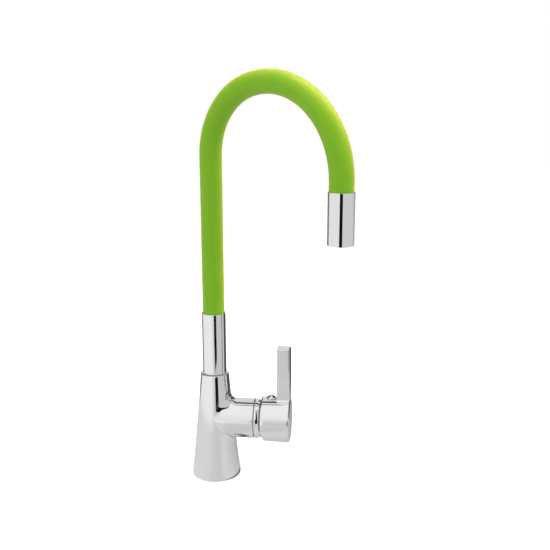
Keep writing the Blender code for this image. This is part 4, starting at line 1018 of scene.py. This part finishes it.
def make_hose(sizes, colours):
    """Three layers from neck to outlet, each in six lengths that each span one joint."""
    total = sum(stretch for stretch, _ in hose_stretches(sizes))
    line = [hose_point(sizes, total * i / LINE_POINTS)[0] for i in range(LINE_POINTS + 1)]
    tree = layer_tree()
    across = spout_frame(sizes).to_3x3() @ Vector((0, 1, 0))
    ends = [0.0, *((a + b) / 2 for a, b in zip(HOSE_JOINTS, HOSE_JOINTS[1:])), total]
    bore, coil_wall = sizes.hose_radius - sizes.hose_wall, 1.7 * MM
    # Title, solids, finish, radius, wall, sides, row step and rib depth
    layers = (
        ("hose_skin", "silicone_sleeve", "silicone", sizes.hose_radius, sizes.hose_wall, 96,
         1.6 * MM, 0.0),
        ("gooseneck_coil", "gooseneck_core", "steel", bore - CLEARANCE, coil_wall, 36,
         0.8 * MM, 0.5 * MM),
        ("water_line", "water_hose", "white_plastic", bore - 2 * CLEARANCE - coil_wall,
         1.8 * MM, 32, 2.4 * MM, 0.0),
    )
    for title, node, finish, radius, wall, sides, row_step, rib in layers:
        material = finish_material(colours, finish)
        for number, (start, end) in enumerate(zip(ends, ends[1:]), start=1):
            mesh = bpy.data.meshes.new(f"{title}_{number}")
            mesh.from_pydata(line, [(i, i + 1) for i in range(LINE_POINTS)], [])
            piece = new_object(f"{title}_{number}", mesh)
            rows = max(12, round((end - start) / row_step))
            run_nodes(piece, tree, {
                "Radius": radius, "Wall": wall, "From": start, "To": end, "Rows": rows,
                "Sides": sides, "Rib Depth": rib, "Rib Pitch": 4.8 * MM,
                "Across": tuple(across), "Material": material})
            if len(piece.data.polygons) < rows * sides:
                raise RuntimeError(f"{title}_{number} came out empty")
            nodes = [f"{node}_{number}"] + ([f"{node}_7"] if number == 6 else [])
            dress(piece, material, None, nodes)
            piece.visible_glossy = False
            point, way = hose_point(sizes, HOSE_JOINTS[number - 1])
            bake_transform(piece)


# Aerator

def screen_tree():
    """Geometry Nodes tree that punches a hexagonal field of holes through a round plate."""
    tree, given = new_group("screen_plate", {
        "Pitch": 0.003, "Hole Radius": 0.0012, "Rings": 2, "Height": 0.0})
    rings, pitch = given.output("Rings"), given.output("Pitch")
    count = rings * 2 + 1
    grid = tree.node("GeometryNodeMeshGrid", None, {"Vertices X": count, "Vertices Y": count})
    index = tree.node("GeometryNodeInputIndex")
    row = (index / count).math("FLOOR")
    column = index - row * count - rings
    row = row - rings
    place = tree.node("ShaderNodeCombineXYZ", None, {
        "X": pitch * (column + row / 2), "Y": pitch * row * (math.sqrt(3) / 2),
        "Z": given.output("Height")})
    field = tree.node("GeometryNodeSetPosition", None, {"Geometry": grid, "Position": place})
    outside = (row + column).math("ABSOLUTE") > (rings + 0.5)
    kept = tree.node("GeometryNodeDeleteGeometry", {"domain": "POINT"},
                     {"Geometry": field, "Selection": outside})
    punch = tree.node("GeometryNodeMeshCylinder", None, {
        "Vertices": 6, "Radius": given.output("Hole Radius"), "Depth": 6 * MM})
    punches = tree.node("GeometryNodeInstanceOnPoints", None,
                        {"Points": kept, "Instance": punch})
    cutters = tree.node("GeometryNodeRealizeInstances", None, {"Geometry": punches})
    plate = tree.node("GeometryNodeMeshBoolean", {"operation": "DIFFERENCE", "solver": "EXACT"},
                      {"Mesh 1": given.output("Geometry"), "Mesh 2": cutters})
    return end_group(tree, given, plate)


def make_aerator(sizes, colours):
    """Steel housing with its lip, and the honeycomb screen above the lip."""
    place = outlet_frame(sizes)
    bottom = sizes.outlet_bottom + 0.9 * MM
    shoulder, top, ledge = 287.7 * MM, 295.0 * MM, bottom + 1.0 * MM
    lip, outside, thread, bore = 7.0 * MM, 11.5 * MM, 9.2 * MM, 8.0 * MM
    housing = [(lip, bottom, 0.3 * MM), (outside, bottom, 0.5 * MM), (outside, shoulder),
               (thread, shoulder), (thread, top), (bore, top), (bore, ledge),
               (lip, ledge, 0.3 * MM)]
    turned("aerator_cup", housing, place, colours, "steel", "outlet",
           "aerator_housing", BORE_SIDES)

    low, high, radius, sides = bottom + 1.3 * MM, bottom + 2.5 * MM, 7.7 * MM, 72
    disc = [(0, low), (radius, low), (radius, high), (0, high)]
    material = finish_material(colours, "grey_plastic")
    screen = new_object("honeycomb_screen", lathe_mesh("honeycomb_screen", disc, None, sides))
    run_nodes(screen, screen_tree(), {
        "Pitch": 3.0 * MM, "Hole Radius": 1.3 * MM, "Rings": sizes.screen_rings,
        "Height": (low + high) / 2, "Material": material})
    screen.data.transform(place)
    dress(screen, material, "outlet", ["aerator_screen"])


# Inner pieces that keep their solids

INNER_FINISHES = {
    "brass": ("spout_spigot", "outlet_connector"),
    "steel": ("cartridge_nut", "stem_pin", "cartridge_stem", "grub_screw", "retaining_clip"),
    "rubber": ("port_seal_hot", "port_seal_cold", "port_seal_mixed", "spigot_oring_upper",
               "spigot_oring_lower", "aerator_gasket"),
    "white_plastic": ("cartridge_base", "cartridge_rotor", "disc_carrier", "aerator_insert"),
    "grey_plastic": ("cartridge_housing",),
    "ceramic": ("fixed_ceramic_disc", "moving_ceramic_disc"),
}


def finish_inner_pieces(colours):
    """Give each remaining solid its own finish."""
    for finish, names in INNER_FINISHES.items():
        for name in names:
            for slot in frame["nodes"][name].material_slots:
                slot.material = finish_material(colours, finish)


# Studio

# Grey level of the mirrored floor, near, further off and far, by bearing in degrees from the
# front, + to the right
FLOOR_TONES = (
    ((-180, 0.55), (-150, 0.68), (-120, 0.76), (-60, 0.80), (-20, 0.78), (-6, 0.71), (5, 0.69),
     (25, 0.67), (43, 0.78), (60, 0.74), (87, 0.65), (110, 0.60), (132, 0.48), (160, 0.38),
     (180, 0.55)),
    ((-180, 0.80), (-160, 0.80), (-152, 0.20), (-118, 0.20), (-113, 0.95), (-20, 0.98),
     (-8, 0.88), (8, 0.76), (14, 0.65), (20, 0.66), (86, 0.64), (88, 0.25), (98, 0.25),
     (101, 0.76), (115, 0.76), (118, 0.08), (174, 0.08), (178, 0.80)),
    ((-180, 0.80), (-158, 0.80), (-150, 0.20), (-120, 0.20), (-114, 0.90), (-12, 0.90),
     (6, 0.84), (14, 0.71), (112, 0.71), (122, 0.45), (172, 0.45), (178, 0.80)),
)

# Standing cards: name, distance from the plane of the arm, outline in metres, and the tones
# below and above
CARDS = (
    ("dark_flag", -0.300, ((0.060, 0.012), (0.195, 0.012), (0.160, 0.79), (0.093, 0.79),
                           (0.093, 0.16), (0.052, 0.12), (0.052, 0.051), (0.060, 0.048)),
     0.005, 0.005),
    ("grey_flag", -0.301, ((0.005, 0.0), (0.0595, 0.0), (0.0595, 0.2), (0.005, 0.2)),
     0.69, 0.95),
)

# Lamps: name, place, size and power in watts
LAMPS = (
    ("key_lamp", (-1.3, -0.9, 1.5), (1.2, 1.2), 13),
    ("fill_lamp", (1.6, -0.6, 1.2), (1.0, 1.4), 12),
    ("top_lamp", (0.1, 0.4, 2.2), (1.6, 1.6), 14),
)
LAMP_TARGET = (0.05, -0.02, 0.2)


def bearings(tones):
    """Colour ramp stops of grey levels given by bearing."""
    return [(degrees / 360 + 0.5, (level, level, level, 1)) for degrees, level in tones]


def make_floor(colours):
    """Wide pale floor: white to the camera with the faucet's shadow, and toned in mirrors."""
    size, drop, glow_strength = 4.0, -CLEARANCE, 0.56
    verts = [(-size, -size, drop), (size, -size, drop), (size, size, drop), (-size, size, drop)]
    floor = new_object("studio_floor", new_mesh("studio_floor", verts, [(0, 1, 2, 3)]))
    material, tree = new_surface("studio_floor")
    path, seen = tree.rays()
    matte = tree.node("ShaderNodeBsdfDiffuse", None,
                      {"Color": tree.shades(tree.noise(3, 2), colours.floor, 0.99, 1.0)})
    glow = tree.emission((1, 1, 1, 1), seen * glow_strength)
    real = tree.node("ShaderNodeAddShader", None, {0: matte, 1: glow})

    # In mirrors: bright far off to the left, grey in front and to the right, dark behind
    aside = tree.place()
    depth = aside.output("Y")
    out = (aside * aside + depth * depth).math("SQRT")
    bearing = aside.arctan2(0 - depth) / (2 * math.pi) + 0.5
    near, middle, far = (tree.node("ShaderNodeValToRGB", {"stops": bearings(tones)},
                                   {0: bearing}) for tones in FLOOR_TONES)
    level = tree.mix_colour(out.ramp(0.24, 0.32), near, middle)
    level = tree.mix_colour(out.ramp(0.75, 1.0), level, far)
    # Painted shadow: a dark ring round the foot, on the side under the arm, that only mirrors see
    # in the floor
    level = tree.mix_colour((1 - out.ramp(0.029, 0.034)) * aside.ramp(0.014, 0.024), level,
                            (0.12, 0.12, 0.12))
    surface = tree.node("ShaderNodeMixShader", None, {
        0: path.output("Is Glossy Ray"), 1: real, 2: tree.emission(level)})
    tree.node("ShaderNodeOutputMaterial", None, {"Surface": surface})
    floor.data.materials.append(material)


def make_world():
    """White to the camera, and in mirrors a lit room: bright left, grey right, dark beams."""
    world = bpy.data.worlds.new("studio")
    bpy.context.scene.world = world
    world.use_nodes = True
    tree = Tree(world.node_tree)
    path, seen = tree.rays()
    mirrored = path.output("Is Glossy Ray") * (1 - seen)
    way = tree.place(kind="Generated")
    depth, rise = way.output("Y"), way.output("Z")
    # Brighter upwards, grey to the right of a plane turned 20 degrees, white overhead
    right = (0.94 * way + 0.342 * depth).ramp(-0.02, 0.02)
    room = (0.88 + 0.12 * rise.ramp(0.0, 0.7)).toward(0.66, right)
    room = room.toward(1.0, rise.ramp(0.85, 0.93))
    # Overhead, from front to back: a dark rail, a greyer ceiling and a dark beam
    back = depth / rise.at_least(0.001)
    room = room.toward(0.78, back.ramp(0.22, 0.34))
    beam, rail = back.between(0.38, 0.64), back.between(0.10, 0.21)
    room = room * (1 - 0.93 * beam) * (1 - 0.72 * rail)
    # Dark posts behind, below the ceiling
    slant = way / depth.at_least(0.001)
    posts = slant.between(0.12, 1.7) + slant.between(-2.0, -0.25)
    room = room * (1 - 0.88 * (depth > 0.05) * posts * (rise < 0.62))
    light = (0.55 + 0.45 * seen).toward(room, mirrored)
    shell = tree.node("ShaderNodeBackground", None, {"Color": (1, 1, 1, 1), "Strength": light})
    tree.node("ShaderNodeOutputWorld", None, {"Surface": shell})


def make_card(name, depth, outline, low, high):
    """A standing card that only mirrors see, from its outline and its tones below and above."""
    corners = [(x, depth, z) for x, z in outline]
    height = max(z for _, z in outline)
    card = new_object(name, new_mesh(name, corners, [tuple(range(len(corners)))]))
    material, tree = new_surface(name)
    tone = tree.mix_colour(tree.place("Z").ramp(0.35 * height, height), (low,) * 3, (high,) * 3)
    tree.node("ShaderNodeOutputMaterial", None, {"Surface": tree.emission(tone)})
    card.data.materials.append(material)
    for kind in ("camera", "diffuse", "shadow", "transmission", "volume_scatter"):
        setattr(card, f"visible_{kind}", False)


def aim(place, way):
    """Place and turn of a lamp or camera that looks along a direction."""
    return Matrix.Translation(place) @ Vector(way).to_track_quat("-Z", "Y").to_matrix().to_4x4()


def make_lamp(name, place, size, power):
    """A large soft lamp aimed at the faucet."""
    lamp = bpy.data.lights.new(name, "AREA")
    lamp.shape = "RECTANGLE"
    lamp.size, lamp.size_y = size
    lamp.energy = power
    obj = new_object(name, lamp)
    obj.matrix_world = aim(place, Vector(LAMP_TARGET) - Vector(place))
    obj.visible_glossy = False
    return obj


def make_gloss_lamp():
    """A warm lamp for the silicone's highlight alone."""
    lamp = make_lamp("gloss_lamp", (0.62, 0.42, 1.54), (0.8, 2.0), 44)
    lamp.data.color = (1.0, 0.47, 0.34)
    lamp.visible_glossy = True
    receivers = bpy.data.collections.new("gloss_receivers")
    for obj in bpy.data.objects:
        if obj.name.startswith("hose_skin"):
            receivers.objects.link(obj)
    lamp.light_linking.receiver_collection = receivers


def make_camera():
    """Camera at the photograph's place, looking slightly down."""
    camera = bpy.data.cameras.new("camera")
    camera.lens = 49.06
    camera.sensor_width = 36
    camera.clip_end = 50
    side, down = 5.85 * DEG, 13.29 * DEG
    obj = new_object("camera", camera)
    obj.matrix_world = aim((0.1433, -0.7578, 0.4068),
                           (-math.sin(side) * math.cos(down), math.cos(side) * math.cos(down),
                            -math.sin(down)))
    bpy.context.scene.camera = obj


def make_studio(colours):
    """Camera, world, floor, cards and lamps."""
    bpy.context.scene.view_settings.view_transform = "Standard"
    make_camera()
    make_world()
    make_floor(colours)
    for card in CARDS:
        make_card(*card)
    for lamp in LAMPS:
        make_lamp(*lamp)
    make_gloss_lamp()


# Operators and panel

class FAUCET_OT_body(bpy.types.Operator):
    """Build the cone and arm as one polished casting"""
    bl_idname = "faucet.body"
    bl_label = "Body Casting"

    def execute(self, context):
        make_body(context.scene.faucet_sizes, context.scene.faucet_colours)
        return {"FINISHED"}


class FAUCET_OT_rings(bpy.types.Operator):
    """Build the cover ring, neck, outlet, washer and base seal"""
    bl_idname = "faucet.rings"
    bl_label = "Rings and Sleeves"

    def execute(self, context):
        make_rings(context.scene.faucet_sizes, context.scene.faucet_colours)
        return {"FINISHED"}


class FAUCET_OT_lever(bpy.types.Operator):
    """Build the lever and the plug over its screw"""
    bl_idname = "faucet.lever"
    bl_label = "Lever"

    def execute(self, context):
        make_handle(context.scene.faucet_sizes, context.scene.faucet_colours)
        return {"FINISHED"}


class FAUCET_OT_hose(bpy.types.Operator):
    """Build the silicone hose, its gooseneck coil and the water line"""
    bl_idname = "faucet.hose"
    bl_label = "Gooseneck Hose"

    def execute(self, context):
        make_hose(context.scene.faucet_sizes, context.scene.faucet_colours)
        return {"FINISHED"}


class FAUCET_OT_aerator(bpy.types.Operator):
    """Build the aerator's housing and screen"""
    bl_idname = "faucet.aerator"
    bl_label = "Aerator"

    def execute(self, context):
        make_aerator(context.scene.faucet_sizes, context.scene.faucet_colours)
        return {"FINISHED"}


class FAUCET_OT_inner(bpy.types.Operator):
    """Finish the cartridge, spigot and other inner pieces"""
    bl_idname = "faucet.inner"
    bl_label = "Inner Pieces"

    def execute(self, context):
        finish_inner_pieces(context.scene.faucet_colours)
        return {"FINISHED"}


class FAUCET_OT_studio(bpy.types.Operator):
    """Set up the floor, light and camera"""
    bl_idname = "faucet.studio"
    bl_label = "Studio"

    def execute(self, context):
        make_studio(context.scene.faucet_colours)
        return {"FINISHED"}


OPERATORS = (FAUCET_OT_body, FAUCET_OT_rings, FAUCET_OT_lever, FAUCET_OT_hose,
             FAUCET_OT_aerator, FAUCET_OT_inner, FAUCET_OT_studio)


class FAUCET_PT_panel(bpy.types.Panel):
    """Buttons and settings of the faucet"""
    bl_idname = "FAUCET_PT_panel"
    bl_label = "Kitchen Faucet"
    bl_space_type = "VIEW_3D"
    bl_region_type = "UI"
    bl_category = "Faucet"

    def draw(self, context):
        layout = self.layout
        for operator in OPERATORS:
            layout.operator(operator.bl_idname)
        for settings in (context.scene.faucet_sizes, context.scene.faucet_colours):
            box = layout.box()
            for name in settings.__annotations__:
                box.prop(settings, name)


CLASSES = (FaucetSizes, FaucetColours, *OPERATORS, FAUCET_PT_panel)


def register():
    for item in CLASSES:
        bpy.utils.register_class(item)
    bpy.types.Scene.faucet_sizes = PointerProperty(type=FaucetSizes)
    bpy.types.Scene.faucet_colours = PointerProperty(type=FaucetColours)


def unregister():
    del bpy.types.Scene.faucet_colours
    del bpy.types.Scene.faucet_sizes
    for item in reversed(CLASSES):
        bpy.utils.unregister_class(item)


def main():
    """Build the whole faucet."""
    register()
    bpy.ops.faucet.body()
    bpy.ops.faucet.rings()
    bpy.ops.faucet.lever()
    bpy.ops.faucet.hose()
    bpy.ops.faucet.aerator()
    bpy.ops.faucet.inner()
    bpy.ops.faucet.studio()


if __name__ == "__main__":
    main()
